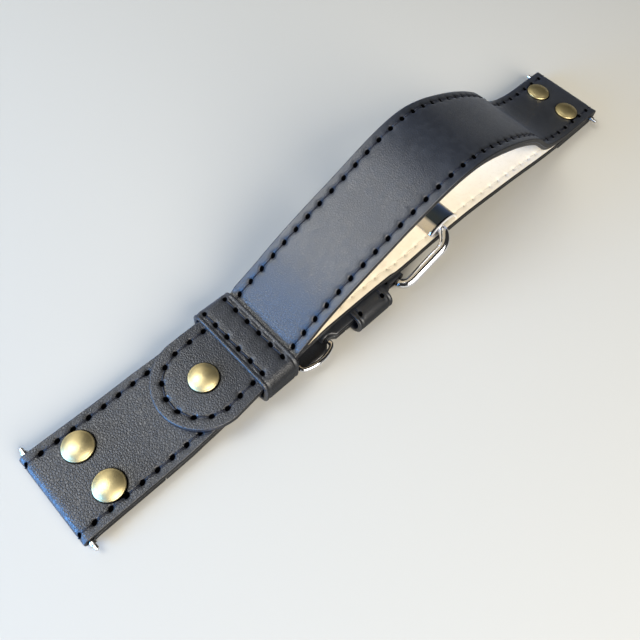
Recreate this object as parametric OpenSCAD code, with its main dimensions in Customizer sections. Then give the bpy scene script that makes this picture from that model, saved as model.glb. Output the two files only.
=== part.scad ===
// Riveted leather watch strap, closed and lying on a table.
// X runs along the strap from lug A (left) to lug B (right), Y across it, Z up.
// The origin is on the table, under the middle of the strap.

/* [Overall] */
// Length from the fold at lug A to the fold at lug B
total_len = 165; // [155:1:175]
// Width of the leather where it sits between the watch's lugs
strap_w = 20; // [19.5:0.25:22]
// Top of the arch that the slack upper strap makes
arch_h = 28.6; // [22:0.2:32]
// Distance from lug A to the top of the arch
arch_x = 95; // [90:0.5:98]

/* [Leather] */
// Thickness of the short strap, two plies in all
short_t = 2.8; // [2.6:0.1:3.2]
// Outer leather of the long strap
leather_t = 1.1; // [0.9:0.05:1.3]
// Pale lining of the long strap
lining_t = 0.7; // [0.5:0.05:0.9]
// Width of the upper strap at its narrowest, past the wide keeper
waist_w = 19.2; // [18.6:0.1:19.4]
// Width of the adjustable strap at its tail
tail_w = 19; // [18:0.1:19.1]
// Thickness of the skived tail where it slips into the wide keeper
tail_t = 1; // [0.8:0.05:1.2]
// Length of leather turned back under each lug fold
turn_back = 17; // [14.5:0.5:18]

/* [Riveted tab] */
// Distance from lug A to the tab's round end
tab_end = 23.4; // [22:0.2:25]
// Width of the tab
tab_w = 20.2; // [19.6:0.1:20.6]
// Sideways set of the tab towards the near edge
tab_skew = 0.85; // [0.5:0.05:1]

/* [Rivets] */
// Diameter of a rivet's domed cap
rivet_d = 6; // [5:0.1:6.4]
// Height of the dome above its rim
rivet_dome = 0.9; // [0.6:0.05:1.2]
// Diameter of the rivet's hollow post
post_d = 2.2; // [2:0.1:2.6]
// Distance from the strap's edge to the middle of a rivet at a lug
rivet_edge = 5.25; // [5.2:0.05:6]
// Distance from each lug fold to its rivets
rivet_in = 9; // [7:0.1:10]

/* [Stitching] */
// Distance from one stitch to the next
stitch_pitch = 3.3; // [3:0.1:4]
// Length of the thread that shows in one stitch
stitch_len = 2.3; // [1.8:0.1:2.6]
// Thickness of the thread
thread_d = 0.5; // [0.3:0.05:0.6]
// Distance from the leather's edge to the seam
seam_in = 1.9; // [1.6:0.1:2.3]

/* [Keepers] */
// Distance from lug A to the wide keeper
wide_x = 40.2; // [39.6:0.1:40.5]
// Length of the wide keeper along the strap
wide_len = 8.6; // [8:0.1:8.6]
// Leather thickness of both keepers
keeper_t = 1; // [0.8:0.05:1.1]
// Gap between the wide keeper and the strap inside it, on each side
wide_gap = 0.25; // [0.2:0.05:0.5]
// Distance from a keeper's edge to its row of stitches
row_in = 1.7; // [1.4:0.1:2]
// Length of the small keeper along the strap
small_len = 10.2; // [8:0.1:10.5]
// Inner width of the small keeper, which also has to take the tail
small_in_w = 24.4; // [23:0.2:24.6]
// Distance from the ring's right bar to the small keeper
small_x = 6.9; // [6.8:0.1:7.4]
// Travel of the small keeper towards the ring
small_travel = 5.5; // [3:0.5:5.5]

/* [Ring] */
// Distance from lug A to the ring's left bar
ring_x = 49.75; // [49.75:0.05:50.5]
// Distance between the ring's two long bars
ring_pitch = 8.65; // [8.4:0.05:8.8]
// Wire diameter of the ring
ring_d = 1.1; // [1:0.05:1.2]
// Length of the ring across the strap, over the wire
ring_len = 25.2; // [25.2:0.1:26]
// Bend radius of the ring's corners, at the middle of the wire
ring_bend = 1.7; // [1.4:0.1:1.7]
// Set of the ring towards the near edge, as it lies
ring_shift = 0.5; // [0:0.1:0.5]
// Width of the leather loops that hold the ring
loop_w = 19.4; // [18:0.1:19.4]
// Width of the leather guard under the ring
guard_w = 22.6; // [21:0.1:23]
// Thickness of the guard
guard_t = 0.85; // [0.6:0.05:0.9]

/* [Buckle] */
// Distance between the ring's right bar and the buckle's pivot
band_len = 22.1; // [21.8:0.1:22.6]
// Width of the buckle band where the small keeper slides
band_w = 21.6; // [20:0.1:22]
// Gap between the band's edge and an arm
arm_gap = 1.15; // [1:0.05:1.4]
// Diameter of the arms
arm_d = 2.3; // [2.1:0.05:2.4]
// Straight length of an arm, from the pivot to its corner
arm_len = 11.4; // [11:0.1:11.8]
// Bend radius of the arms' corners
arm_bend = 4.2; // [3.8:0.1:4.4]
// Tilt of the buckle above the table
arm_tilt = 23.5; // [22.5:0.5:24.5]
// Width of the arched front bar along the strap
front_w = 9.3; // [8.8:0.1:9.6]
// Rise of the front bar's arch
front_rise = 2.75; // [2.6:0.05:3]
// Sheet thickness of the front bar
front_t = 0.6; // [0.5:0.05:0.8]
// Length of each arm's end that is brazed into the front bar
front_lap = 0.6; // [0.4:0.1:1]
// Width of the tongue
tongue_w = 1.4; // [1.2:0.1:1.6]
// Thickness of the tongue
tongue_t = 0.9; // [0.8:0.05:1]
// Length of an adjusting hole
hole_len = 4.2; // [4.2:0.1:4.8]
// Width of an adjusting hole
hole_w = 2.2; // [2.2:0.1:2.6]
// Distance from one adjusting hole to the next
hole_pitch = 7; // [6:0.1:7.4]
// Number of adjusting holes on each side of the one in use
holes_left = 3; // [1:1:3]
holes_right = 2; // [1:1:2]

/* [Spring bars] */
// Outer diameter of a spring bar's tube
bar_d = 1.5; // [1.3:0.05:1.6]
// Wall of the tube
bar_wall = 0.2; // [0.15:0.05:0.25]
// Diameter of a pivot tip
tip_d = 0.8; // [0.7:0.05:0.9]
// Diameter of the flange that a tool grips
flange_d = 1.3; // [1.2:0.05:1.35]
// How far a tip stands out past the leather at the lugs
tip_out = 1.9; // [1.8:0.1:2.2]
// Inward travel of a lug tip
tip_travel = 1.4; // [1:0.1:1.5]
// Inward travel of a buckle tip, which frees it from its ear
buckle_tip_travel = 1.4; // [1.3:0.05:1.5]

/* [Hidden] */
$fn = 48;

// clearances
lay_gap = 0.03;      // between layers that lie on each other
run_gap = 0.04;      // round a pin that turns or slides
free_gap = 0.3;      // beside a part that moves past
thread_lift = 0.06;  // thread above the leather that it lies on

// colours
black_c = [0.10, 0.11, 0.13];
cream_c = [0.86, 0.80, 0.66];
thread_c = [0.05, 0.06, 0.12];
brass_c = [0.62, 0.54, 0.30];
steel_c = [0.78, 0.78, 0.80];

// thicknesses and heights
long_t = leather_t + lining_t;
ply = short_t / 2;
lift = keeper_t + 0.05;                    // short strap above the table, on its keepers
bar_z = lift + ply;                        // ring bars and buckle pivot
lug_b_t = leather_t + 2 * long_t;          // folded end at lug B
tail_z = lift + short_t + lay_gap;         // underside of the tail on the short strap
small_top = 2 * keeper_t + short_t + 0.15; // top of the small keeper
over_small = small_top + free_gap;         // underside of the adjustable strap above it
stack_z = tail_z + tail_t + lay_gap;       // underside of the upper strap on the tail
wide_top = stack_z + long_t + 0.2 + keeper_t;

// places along X
xa = -total_len / 2;
xb = total_len / 2;
nose_a = xa + ply;                         // middle of the fold at lug A
nose_b = xb - lug_b_t / 2;                 // middle of the fold at lug B
wide_x0 = xa + wide_x;
wide_x1 = wide_x0 + wide_len;
ring_x0 = xa + ring_x;
ring_x1 = ring_x0 + ring_pitch;
pivot_x = ring_x1 + band_len;
small_x0 = ring_x1 + small_x;
small_x1 = small_x0 + small_len;
tab_cx = xa + tab_end + tab_w / 2;
front_x = pivot_x + (arm_len + arm_bend) * cos(arm_tilt) + front_w * 0.235;
peak_x = xa + arch_x;
wide_y = -tab_skew / 2;                    // the wide keeper follows the tab sideways
bar_bore = bar_d / 2 + 0.03;
cavity_b = bar_d / 2 + 0.65;               // leather left of the bar at lug B
lip = 0.3;                                 // rolled lip at a tube's end
head_len = 0.75;                           // sprung head inside the tube
head_d = bar_d - 2 * bar_wall - 2 * run_gap;
neck_d = tip_d + 0.06;
flange_t = 0.6;
chamfer = 0.15;

// widths
half_w = strap_w / 2;
tab_r = tab_w / 2;
rivet_y = half_w - rivet_edge;
arm_span = strap_w + 2 * arm_gap + arm_d;
front_len = arm_span - 2 * arm_bend + 2 * front_lap;
neck_half = tab_r - 0.25;                  // half width of the tab's neck, in the wide keeper
wide_in_w = 2 * (neck_half + wide_gap);

// smooth heights through stations [x, z, slope]
function seg(k, x) = max(0, min(len(k) - 2, len([for (s = k) if (s[0] < x) 1]) - 1));
function blend_z(a, b, t) = let (h = b[0] - a[0])
    (2 * t ^ 3 - 3 * t ^ 2 + 1) * a[1] + (t ^ 3 - 2 * t ^ 2 + t) * h * a[2]
    + (3 * t ^ 2 - 2 * t ^ 3) * b[1] + (t ^ 3 - t ^ 2) * h * b[2];
function blend_s(a, b, t) = let (h = b[0] - a[0])
    ((6 * t ^ 2 - 6 * t) * a[1] + (6 * t - 6 * t ^ 2) * b[1]) / h
    + (3 * t ^ 2 - 4 * t + 1) * a[2] + (3 * t ^ 2 - 2 * t) * b[2];
function part_of(k, x) = let (i = seg(k, x)) (x - k[i][0]) / (k[i + 1][0] - k[i][0]);
function height(k, x) = let (i = seg(k, x)) blend_z(k[i], k[i + 1], part_of(k, x));
function slope(k, x) = let (i = seg(k, x)) blend_s(k[i], k[i + 1], part_of(k, x));
// point at x, raised by d square to the curve
function raised(k, x, d) = let (s = slope(k, x), n = sqrt(1 + s * s))
    [x - s * d / n, height(k, x) + d / n];
// x values: steps between each pair of stations, cut to x0..x1
function stops(k, x0, x1, n = 5) = let (all = [for (i = [0:len(k) - 2], j = [0:n - 1])
        k[i][0] + (k[i + 1][0] - k[i][0]) * j / n])
    concat([x0], [for (x = all) if (x > x0 + 0.05 && x < x1 - 0.05) x], [x1]);
function back(v) = [for (i = [len(v) - 1:-1:0]) v[i]];

// undersides of the three straps, as stations [x, z, slope]
function between(a, b, share) = a + (b - a) * share;
on_table_x = xa + turn_back - ply;          // the short strap leaves the table here
lifted_x = wide_x0 - short_t * 1.4;         // and is level again here
short_keys = [[nose_a, 0, 0], [on_table_x, 0, 0], [lifted_x, lift, 0], [ring_x1, lift, 0]];
function on_short(x) = [x, height(short_keys, x) + short_t + lay_gap, slope(short_keys, x)];
peak_z = arch_h - long_t;
lug_b_z = lug_b_t - long_t;
function rise_x(share) = between(wide_x1, peak_x, share);
function fall_x(share) = between(peak_x, xb, share);
tail_x = wide_x0 + wide_len * 0.6;          // the tail's end, inside the wide keeper
upper_keys = [
    on_short(xa + tab_end), on_short(between(xa + tab_end, lifted_x, 0.45)), on_short(lifted_x),
    [between(wide_x0, tail_x, 0.1), tail_z, 0.04], [between(wide_x0, tail_x, 0.9), stack_z, 0.04],
    [rise_x(-0.004), stack_z + 0.07, 0.06],
    [rise_x(0.06), peak_z * 0.245, 0.62], [rise_x(0.26), peak_z * 0.47, 0.6],
    [rise_x(0.63), peak_z * 0.79, 0.47], [peak_x, peak_z, 0.02],
    [fall_x(0.2), peak_z * 0.872, -0.38], [fall_x(0.43), peak_z * 0.577, -0.62],
    [fall_x(0.593), peak_z * 0.25, -0.62], [fall_x(0.7), lug_b_z + long_t / 2, -0.22],
    [fall_x(0.8), lug_b_z, 0], [nose_b, lug_b_z, 0]
];
hole_z = bar_z + ply + 0.5;                 // underside of the adjustable strap over the band's end
front_under = bar_z + 2.5;                  // and under the front bar
front_end = front_x + front_w / 2 + 0.2;
lower_keys = [
    [tail_x, tail_z, 0], [wide_x1 + 1, tail_z, 0.03],
    [ring_x1 + ring_d, over_small, 0.02], [small_x1 + 1.4, over_small, -0.06],
    [pivot_x - 0.9, hole_z, -0.04], [pivot_x + 4.5, hole_z + 0.05, 0.06],
    [front_x - front_w / 2 - 0.2, front_under, 0.01], [front_end, front_under, -0.01],
    [between(front_end, xb, 0.29), front_under * 0.75, -0.08],
    [xb - turn_back - 1, leather_t, 0], [nose_b - cavity_b, leather_t, 0]
];

// half width and sideways set of each strap
upper_turns = [tab_cx, wide_x0, wide_x1, wide_x1 + 1.5, rise_x(0.17), rise_x(0.63), peak_x, xb + 1];
function upper_half(x) = lookup(x, [[tab_cx, tab_r], [wide_x0, neck_half],
    [wide_x1, neck_half - 0.1], [wide_x1 + 1.5, neck_half],
    [rise_x(0.17), waist_w / 2], [rise_x(0.63), waist_w / 2], [peak_x, half_w]]);
function upper_mid(x) = lookup(x, [[tab_cx, -tab_skew], [wide_x0, -tab_skew / 2],
    [wide_x1, -tab_skew / 4], [wide_x1 + 1.5, 0]]);
short_turns = [xa - 1, xa + tab_end, wide_x0, wide_x1, wide_x1 + 0.5, ring_x1];
function short_half(x) = lookup(x, [[xa + tab_end, half_w], [wide_x0, wide_in_w / 2 - 0.7],
    [wide_x1, wide_in_w / 2 - 0.7], [wide_x1 + 0.5, loop_w / 2]]);
lower_turns = [wide_x0, front_end + 3, xb - turn_back - 1, xb];
function lower_half(x) = lookup(x, [[front_end + 3, tail_w / 2], [xb - turn_back - 1, half_w]]);

// an XZ outline drawn out across the strap, centred on Y
module across(w) {
    translate([0, w / 2, 0]) rotate([90, 0, 0]) linear_extrude(w) children();
}
// an XY outline drawn up from well below the table
module upright() {
    translate([0, 0, -5]) linear_extrude(60) children();
}
// outline of a layer between a and b above the underside k
module layer(k, a, b, x0, x1) {
    xs = stops(k, x0, x1);
    polygon(concat([for (x = xs) raised(k, x, a)], back([for (x = xs) raised(k, x, b)])));
}
// layer whose top is the full thickness t(x), for the skived tail
function tail_full(x) = lookup(x, [[wide_x1 + 1, tail_t], [ring_x1, long_t]]);
module tail_layer(a, b, x0, x1) {
    xs = stops(lower_keys, x0, x1);
    polygon(concat([for (x = xs) raised(lower_keys, x, a * tail_full(x) / long_t)],
        back([for (x = xs) raised(lower_keys, x, b * tail_full(x) / long_t)])));
}
// seen from above: strap outline between two edges
module plan_of_short() {
    polygon(concat([for (x = short_turns) [x, short_half(x)]],
        back([for (x = short_turns) [x, -short_half(x)]])));
}
module plan_of_upper() {
    polygon(concat([for (a = [270:-5:95]) [tab_cx + tab_r * cos(a), tab_r * sin(a) - tab_skew]],
        [for (x = upper_turns) [x, upper_mid(x) + upper_half(x)]],
        back([for (x = upper_turns) if (x > tab_cx) [x, upper_mid(x) - upper_half(x)]])));
}
module plan_of_lower() {
    polygon(concat([for (x = lower_turns) [x, lower_half(x)]],
        back([for (x = lower_turns) [x, -lower_half(x)]])));
}
module disc(x, z, r) {
    translate([x, z]) circle(r);
}
module box2(x0, x1, z0, z1) {
    translate([x0, z0]) square([x1 - x0, z1 - z0]);
}

// rivets
module rivet_holes(top) {
    for (s = [-1, 1]) translate([0, s * rivet_y, -1]) {
        cylinder(d = post_d + 2 * lay_gap, h = top + 2);
        cylinder(d = rivet_d - 0.3, h = 1 + back_t + lay_gap);
    }
}
back_t = 0.4;
cap_rim = 0.35;
module cap(z0, z1) {
    dome_r = (pow(rivet_d / 2, 2) + pow(rivet_dome, 2)) / (2 * rivet_dome);
    translate([0, 0, z1]) {
        cylinder(d = rivet_d, h = cap_rim);
        translate([0, 0, cap_rim]) intersection() {
            translate([0, 0, rivet_dome - dome_r]) sphere(dome_r, $fn = 96);
            cylinder(d = rivet_d, h = rivet_dome + 1);
        }
    }
    // stem inside the hollow post
    translate([0, 0, z0 + back_t + 0.1]) cylinder(d = post_d - 0.6, h = z1 - z0 - back_t);
}
module rivet_back(z0, z1) {
    translate([0, 0, z0]) cylinder(d = rivet_d - 0.4, h = back_t);
    translate([0, 0, z0 + back_t - 0.01]) difference() {
        cylinder(d = post_d, h = z1 - z0 - back_t - lay_gap);
        translate([0, 0, 0.1]) cylinder(d = post_d - 0.56, h = z1);
    }
}

// a stitch on top of (up = 1) or under (up = -1) a layer, turned by a about Z
module stitch(x, y, z, tilt, up = 1, a = 0) {
    translate([x, y, z]) rotate([0, 0, a]) rotate([0, -atan(tilt), 0])
        translate([-stitch_len / 2, -thread_d / 2, up > 0 ? thread_lift : -thread_lift - thread_d / 2])
            cube([stitch_len, thread_d, thread_d / 2]);
}
// x values one stitch apart along a curve
function walk(k, x, x1) = x > x1 ? [] : concat([x], walk(k,
    x + stitch_pitch / sqrt(1 + pow(slope(k, x + stitch_pitch * 0.4), 2)), x1));
// one stitch along the curve, d above it, clear of the leather where that bulges under the thread
module curve_stitch(k, x, y, d, up) {
    p0 = raised(k, x - stitch_len * 0.4, d);
    p1 = raised(k, x + stitch_len * 0.4, d);
    middle = (p0[1] + p1[1]) / 2;
    bulge = max(0, up * (raised(k, x, d)[1] - middle));
    stitch((p0[0] + p1[0]) / 2, y, middle + up * bulge, (p1[1] - p0[1]) / (p1[0] - p0[0]), up);
}

// spring bar along Y: half length of its tube
module tube_of_bar(half_tube) {
    rotate([90, 0, 0]) difference() {
        cylinder(d = bar_d, h = 2 * half_tube, center = true);
        cylinder(d = bar_d - 2 * bar_wall, h = 2 * (half_tube - lip), center = true);
        cylinder(d = neck_d + 2 * run_gap, h = 2 * half_tube + 1, center = true);
    }
}
// tip at the +Y end, turned over for the other end by the caller:
// a head inside the tube, a neck through its rolled lip, the flange and the pivot
module tip_of_bar(half_tube, flange_y, end_y) {
    head = half_tube - lip - head_len;
    rotate([-90, 0, 0]) rotate_extrude() polygon([
        [0, head], [head_d / 2, head], [head_d / 2, head + head_len], [neck_d / 2, head + head_len],
        [neck_d / 2, flange_y], [flange_d / 2, flange_y], [flange_d / 2, flange_y + flange_t],
        [tip_d / 2, flange_y + flange_t], [tip_d / 2, end_y - chamfer],
        [tip_d / 2 - chamfer, end_y], [0, end_y]]);
}
module spring_of_bar(half_tube) {
    rotate([90, 0, 0]) difference() {
        cylinder(d = head_d, h = 2 * (half_tube - lip - head_len - 0.02), center = true);
        cylinder(d = head_d - 0.4, h = 2 * half_tube, center = true);
    }
}
lug_flange = half_w + 0.25;
lug_tip = half_w + tip_out;
lug_tube = lug_flange - tip_travel - 0.1;
module place_a() {
    translate([nose_a, 0, ply]) children();
}
module place_b() {
    translate([nose_b, 0, lug_b_t / 2]) children();
}
module place_buckle() {
    translate([pivot_x, 0, bar_z]) children();
}

// short strap
module short_strap_leather() {
    color(black_c) difference() {
        intersection() {
            across(strap_w + 2) difference() {
                union() {
                    layer(short_keys, ply, short_t, nose_a, ring_x0);
                    disc(nose_a, ply, ply);
                    disc(ring_x0, bar_z, ply);
                    layer(short_keys, 0, ply + 0.01, nose_a, xa + turn_back);
                    layer(short_keys, 0, ply + 0.01, ring_x0 - 5, ring_x0);
                }
                disc(nose_a, ply, bar_bore);
                disc(ring_x0, bar_z, ring_d / 2 + run_gap);
            }
            upright() plan_of_short();
        }
        translate([xa + rivet_in, 0, 0]) rivet_holes(short_t);
        tab_post_hole();
    }
}
module short_strap_lining() {
    color(cream_c) difference() {
        intersection() {
            across(strap_w + 2) layer(short_keys, 0, ply - lay_gap,
                xa + turn_back + lay_gap, ring_x0 - 5 - lay_gap);
            upright() plan_of_short();
        }
        tab_post_hole();
    }
}
module short_strap_thread() {
    color(thread_c) for (x = walk(short_keys, xa + 3.2, xa + tab_end + 2.4), s = [-1, 1])
        curve_stitch(short_keys, x, s * (half_w - seam_in), short_t, 1);
}
module short_strap_rivet_caps() {
    color(brass_c) for (s = [-1, 1]) translate([xa + rivet_in, s * rivet_y, 0]) cap(0, short_t);
}
module short_strap_rivet_backs() {
    color(brass_c) for (s = [-1, 1]) translate([xa + rivet_in, s * rivet_y, 0]) rivet_back(0, short_t);
}

// tab rivet, through the upper strap and the short strap
tab_z0 = height(short_keys, tab_cx);
tab_z1 = raised(upper_keys, tab_cx, long_t)[1] + 0.05;
module tab_post_hole() {
    translate([tab_cx, -tab_skew, tab_z0 - 1]) {
        cylinder(d = post_d + 2 * lay_gap, h = tab_z1 - tab_z0 + 2);
        cylinder(d = rivet_d - 0.3, h = 1 + back_t + 2 * lay_gap);
    }
}
module tab_rivet_cap() {
    color(brass_c) translate([tab_cx, -tab_skew, 0]) cap(tab_z0 + lay_gap, tab_z1);
}
module tab_rivet_back() {
    color(brass_c) translate([tab_cx, -tab_skew, 0]) rivet_back(tab_z0 + lay_gap, tab_z1);
}

// upper strap, with the fold round the bar at lug B
module upper_strap_leather() {
    color(black_c) difference() {
        intersection() {
            across(strap_w + 4) difference() {
                union() {
                    layer(upper_keys, lining_t, long_t, xa + tab_end, nose_b);
                    intersection() {
                        disc(nose_b, lug_b_t / 2, lug_b_t / 2);
                        box2(nose_b - 0.01, xb, 0, lug_b_t);
                    }
                    box2(nose_b - cavity_b, nose_b, 0, lug_b_t);
                    box2(xb - turn_back, nose_b, 0, leather_t - lay_gap);
                }
                disc(nose_b, lug_b_t / 2, bar_bore);
            }
            upright() plan_of_upper();
        }
        translate([xb - rivet_in, 0, 0]) rivet_holes(lug_b_t);
        tab_post_hole();
    }
}
module upper_strap_lining() {
    color(cream_c) difference() {
        intersection() {
            across(strap_w + 4)
                layer(upper_keys, lay_gap, lining_t, xa + tab_end, nose_b - cavity_b - lay_gap);
            upright() plan_of_upper();
        }
        translate([xb - rivet_in, 0, 0]) rivet_holes(lug_b_t);
        tab_post_hole();
    }
}
module upper_strap_thread() {
    arc_r = tab_r - seam_in - 0.2;
    arc_n = round(180 / (stitch_pitch / arc_r * 57.3));
    color(thread_c) {
        // round the tab's end
        for (i = [0:arc_n]) {
            a = 90 + 180 * i / arc_n;
            x = tab_cx + arc_r * cos(a);
            stitch(x, -tab_skew + arc_r * sin(a), raised(upper_keys, x, long_t)[1] + 0.04,
                slope(upper_keys, x) * sin(a), 1, a + 90);
        }
        for (x = walk(upper_keys, tab_cx + stitch_pitch, xb - 3.4), s = [-1, 1])
            if (x < wide_x0 - 1.5 || x > wide_x1 + 1.5)
                curve_stitch(upper_keys, x, upper_seam(x, s), long_t, 1);
        // under the lining, where it stands clear of the adjustable strap
        for (x = walk(upper_keys, wide_x1 + 5, xb - 26), s = [-1, 1])
            curve_stitch(upper_keys, x, upper_seam(x, s), lay_gap, -1);
    }
}
function upper_seam(x, s) = upper_mid(x) + s * (upper_half(x) - seam_in);

// adjustable strap
module adjusting_holes() {
    for (i = [-holes_left:holes_right]) translate([pivot_x + 1 + i * hole_pitch, 0, 0]) {
        for (s = [-1, 1]) translate([s * (hole_len - hole_w) / 2, 0, 0]) cylinder(d = hole_w, h = 12);
        translate([-(hole_len - hole_w) / 2, -hole_w / 2, 0]) cube([hole_len - hole_w, hole_w, 12]);
    }
}
module lower_strap_leather() {
    color(black_c) difference() {
        intersection() {
            across(strap_w + 4) tail_layer(0, leather_t, tail_x, nose_b - cavity_b - lay_gap);
            upright() plan_of_lower();
        }
        translate([xb - rivet_in, 0, 0]) rivet_holes(lug_b_t);
        adjusting_holes();
    }
}
module lower_strap_lining() {
    color(cream_c) difference() {
        intersection() {
            across(strap_w + 4) tail_layer(leather_t, long_t, tail_x, nose_b - cavity_b - lay_gap);
            upright() plan_of_lower();
        }
        translate([xb - rivet_in, 0, 0]) rivet_holes(lug_b_t);
        adjusting_holes();
    }
}
module lower_strap_thread() {
    color(thread_c) {
        for (x = walk(lower_keys, ring_x1 + 1.3, xb - 27), s = [-1, 1])
            if (abs(x - front_x) > front_w / 2 + 1.6)
                curve_stitch(lower_keys, x, s * (lower_half(x) - seam_in), long_t + lay_gap, 1);
        for (x = walk(lower_keys, pivot_x + 3, xb - turn_back - 2), s = [-1, 1])
            curve_stitch(lower_keys, x, s * (lower_half(x) - seam_in), 0, -1);
    }
}
module lug_b_rivet_caps() {
    color(brass_c) for (s = [-1, 1]) translate([xb - rivet_in, s * rivet_y, 0]) cap(0, lug_b_t);
}
module lug_b_rivet_backs() {
    color(brass_c) for (s = [-1, 1]) translate([xb - rivet_in, s * rivet_y, 0]) rivet_back(0, lug_b_t);
}

// spring bars at the lugs
module bar_a_tube() {
    color(steel_c) place_a() tube_of_bar(lug_tube);
}
module bar_a_spring() {
    color(steel_c) place_a() spring_of_bar(lug_tube);
}
module bar_a_near_tip() {
    color(steel_c) place_a() mirror([0, 1, 0]) tip_of_bar(lug_tube, lug_flange, lug_tip);
}
module bar_a_far_tip() {
    color(steel_c) place_a() tip_of_bar(lug_tube, lug_flange, lug_tip);
}
module bar_b_tube() {
    color(steel_c) place_b() tube_of_bar(lug_tube);
}
module bar_b_spring() {
    color(steel_c) place_b() spring_of_bar(lug_tube);
}
module bar_b_near_tip() {
    color(steel_c) place_b() mirror([0, 1, 0]) tip_of_bar(lug_tube, lug_flange, lug_tip);
}
module bar_b_far_tip() {
    color(steel_c) place_b() tip_of_bar(lug_tube, lug_flange, lug_tip);
}

// keepers: leather loops seen along X
module loop_outline(hw, z0, z1, r) {
    for (s = [-1, 1]) {
        translate([s * (hw - r), z0 + r]) circle(r);
        translate([s * (hw - r), z1 - r]) circle(r);
    }
    translate([-hw + r, z0]) square([2 * (hw - r), z1 - z0]);
    translate([-hw, z0 + r]) square([2 * hw, z1 - z0 - 2 * r]);
}
module leather_loop(x0, len, hw, z1, r) {
    translate([x0, 0, 0]) rotate([90, 0, 90]) linear_extrude(len) difference() {
        loop_outline(hw + keeper_t, 0, z1, r);
        loop_outline(hw, keeper_t, z1 - keeper_t, r - keeper_t);
    }
}
module loop_stitches(x0, len, mid, half, z) {
    n = floor(2 * half / stitch_pitch);
    for (x = [x0 + row_in, x0 + len - row_in], i = [0:n - 1])
        stitch(x, mid + (i - (n - 1) / 2) * stitch_pitch, z, 0, 1, 90);
}
module wide_keeper() {
    color(black_c) translate([0, wide_y, 0])
        leather_loop(wide_x0, wide_len, wide_in_w / 2, wide_top, keeper_t + 0.35);
}
module wide_keeper_thread() {
    color(thread_c) loop_stitches(wide_x0, wide_len, wide_y, wide_in_w / 2 - 0.5, wide_top);
}
module small_keeper() {
    color(black_c) leather_loop(small_x0, small_len, small_in_w / 2, small_top, small_top / 2 - 0.2);
}
module small_keeper_thread() {
    color(thread_c) for (x = [small_x0 + row_in, small_x1 - row_in], s = [-1, 1], i = [0, 1])
        stitch(x, s * (small_in_w / 2 - 1.6 - i * stitch_pitch), small_top, 0, 1, 90);
}

// ring between the short strap and the buckle band
module quarter_bend(bend, d) {
    rotate_extrude(angle = 90, $fn = 64) translate([bend, 0]) circle(d = d, $fn = 32);
}
module link_ring() {
    hy = ring_len / 2 - ring_d / 2;
    color(steel_c) translate([0, -ring_shift, bar_z]) {
        for (x = [ring_x0, ring_x1]) translate([x, 0, 0]) rotate([90, 0, 0])
            cylinder(d = ring_d, h = 2 * (hy - ring_bend), center = true, $fn = 32);
        for (s = [-1, 1]) translate([ring_x0 + ring_bend, s * hy, 0]) rotate([0, 90, 0])
            cylinder(d = ring_d, h = ring_pitch - 2 * ring_bend, $fn = 32);
        translate([ring_x1 - ring_bend, hy - ring_bend, 0]) quarter_bend(ring_bend, ring_d);
        translate([ring_x0 + ring_bend, hy - ring_bend, 0]) rotate(90) quarter_bend(ring_bend, ring_d);
        translate([ring_x0 + ring_bend, ring_bend - hy, 0]) rotate(180) quarter_bend(ring_bend, ring_d);
        translate([ring_x1 - ring_bend, ring_bend - hy, 0]) rotate(270) quarter_bend(ring_bend, ring_d);
    }
}
// leather guard, sewn under the short strap's fold, that keeps the ring off the wrist
guard_x0 = ring_x0 - 0.65;
guard_x1 = ring_x1 + 0.5;
module ring_guard() {
    h = guard_w / 2;
    c = 1.6;                             // corners pared away
    color(black_c) translate([0, 0, lift - lay_gap - guard_t]) linear_extrude(guard_t) polygon([
        [guard_x0, c - h], [guard_x0 + c, -h], [guard_x1 - c, -h], [guard_x1, c - h],
        [guard_x1, h - c], [guard_x1 - c, h], [guard_x0 + c, h], [guard_x0, h - c]]);
}

// buckle band, folded round the ring and round the buckle's bar
band_keys = [[ring_x1, lift, 0], [pivot_x, lift, 0]];
// half widths from the ring's loop to the buckle
band_edge = [[ring_x1 - 3, loop_w / 2], [ring_x1 + 1, loop_w / 2], [ring_x1 + 1.8, band_w / 2],
    [small_x1 + 1.2, band_w / 2], [pivot_x - 3, half_w], [pivot_x + 3, half_w]];
module band_plan() {
    polygon(concat(band_edge, back([for (p = band_edge) [p[0], -p[1]]])));
}
fold_in = 5;            // leather turned back inside each fold of the band
nose_out = bar_d / 2;   // leather past the buckle's bar, where it isn't pared
module buckle_band_leather() {
    color(black_c) difference() {
        intersection() {
            across(strap_w + 2) difference() {
                union() {
                    box2(ring_x1, pivot_x + nose_out, bar_z, lift + short_t);
                    disc(ring_x1, bar_z, ply);
                    disc(pivot_x + nose_out, bar_z, ply);
                    box2(ring_x1, ring_x1 + fold_in, lift, bar_z + 0.01);
                    box2(pivot_x - fold_in, pivot_x + nose_out, lift, bar_z + 0.01);
                }
                disc(ring_x1, bar_z, ring_d / 2 + run_gap);
                disc(pivot_x, bar_z, bar_bore);
            }
            upright() band_plan();
        }
        // notch for the tongue's eye
        translate([pivot_x - ply - 0.6, -tongue_w / 2 - 0.6, 0]) cube([6, tongue_w + 1.2, 6]);
    }
}
module buckle_band_lining() {
    color(cream_c) intersection() {
        across(strap_w + 2)
            box2(ring_x1 + fold_in + lay_gap, pivot_x - fold_in - lay_gap, lift, bar_z - lay_gap);
        upright() band_plan();
    }
}
module buckle_band_thread() {
    // one seam across the band, beside the fold that holds the bar
    color(thread_c) for (i = [-2:2])
        stitch(pivot_x - 3.2, i * stitch_pitch, lift + short_t, 0, 1, 90);
}

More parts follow.
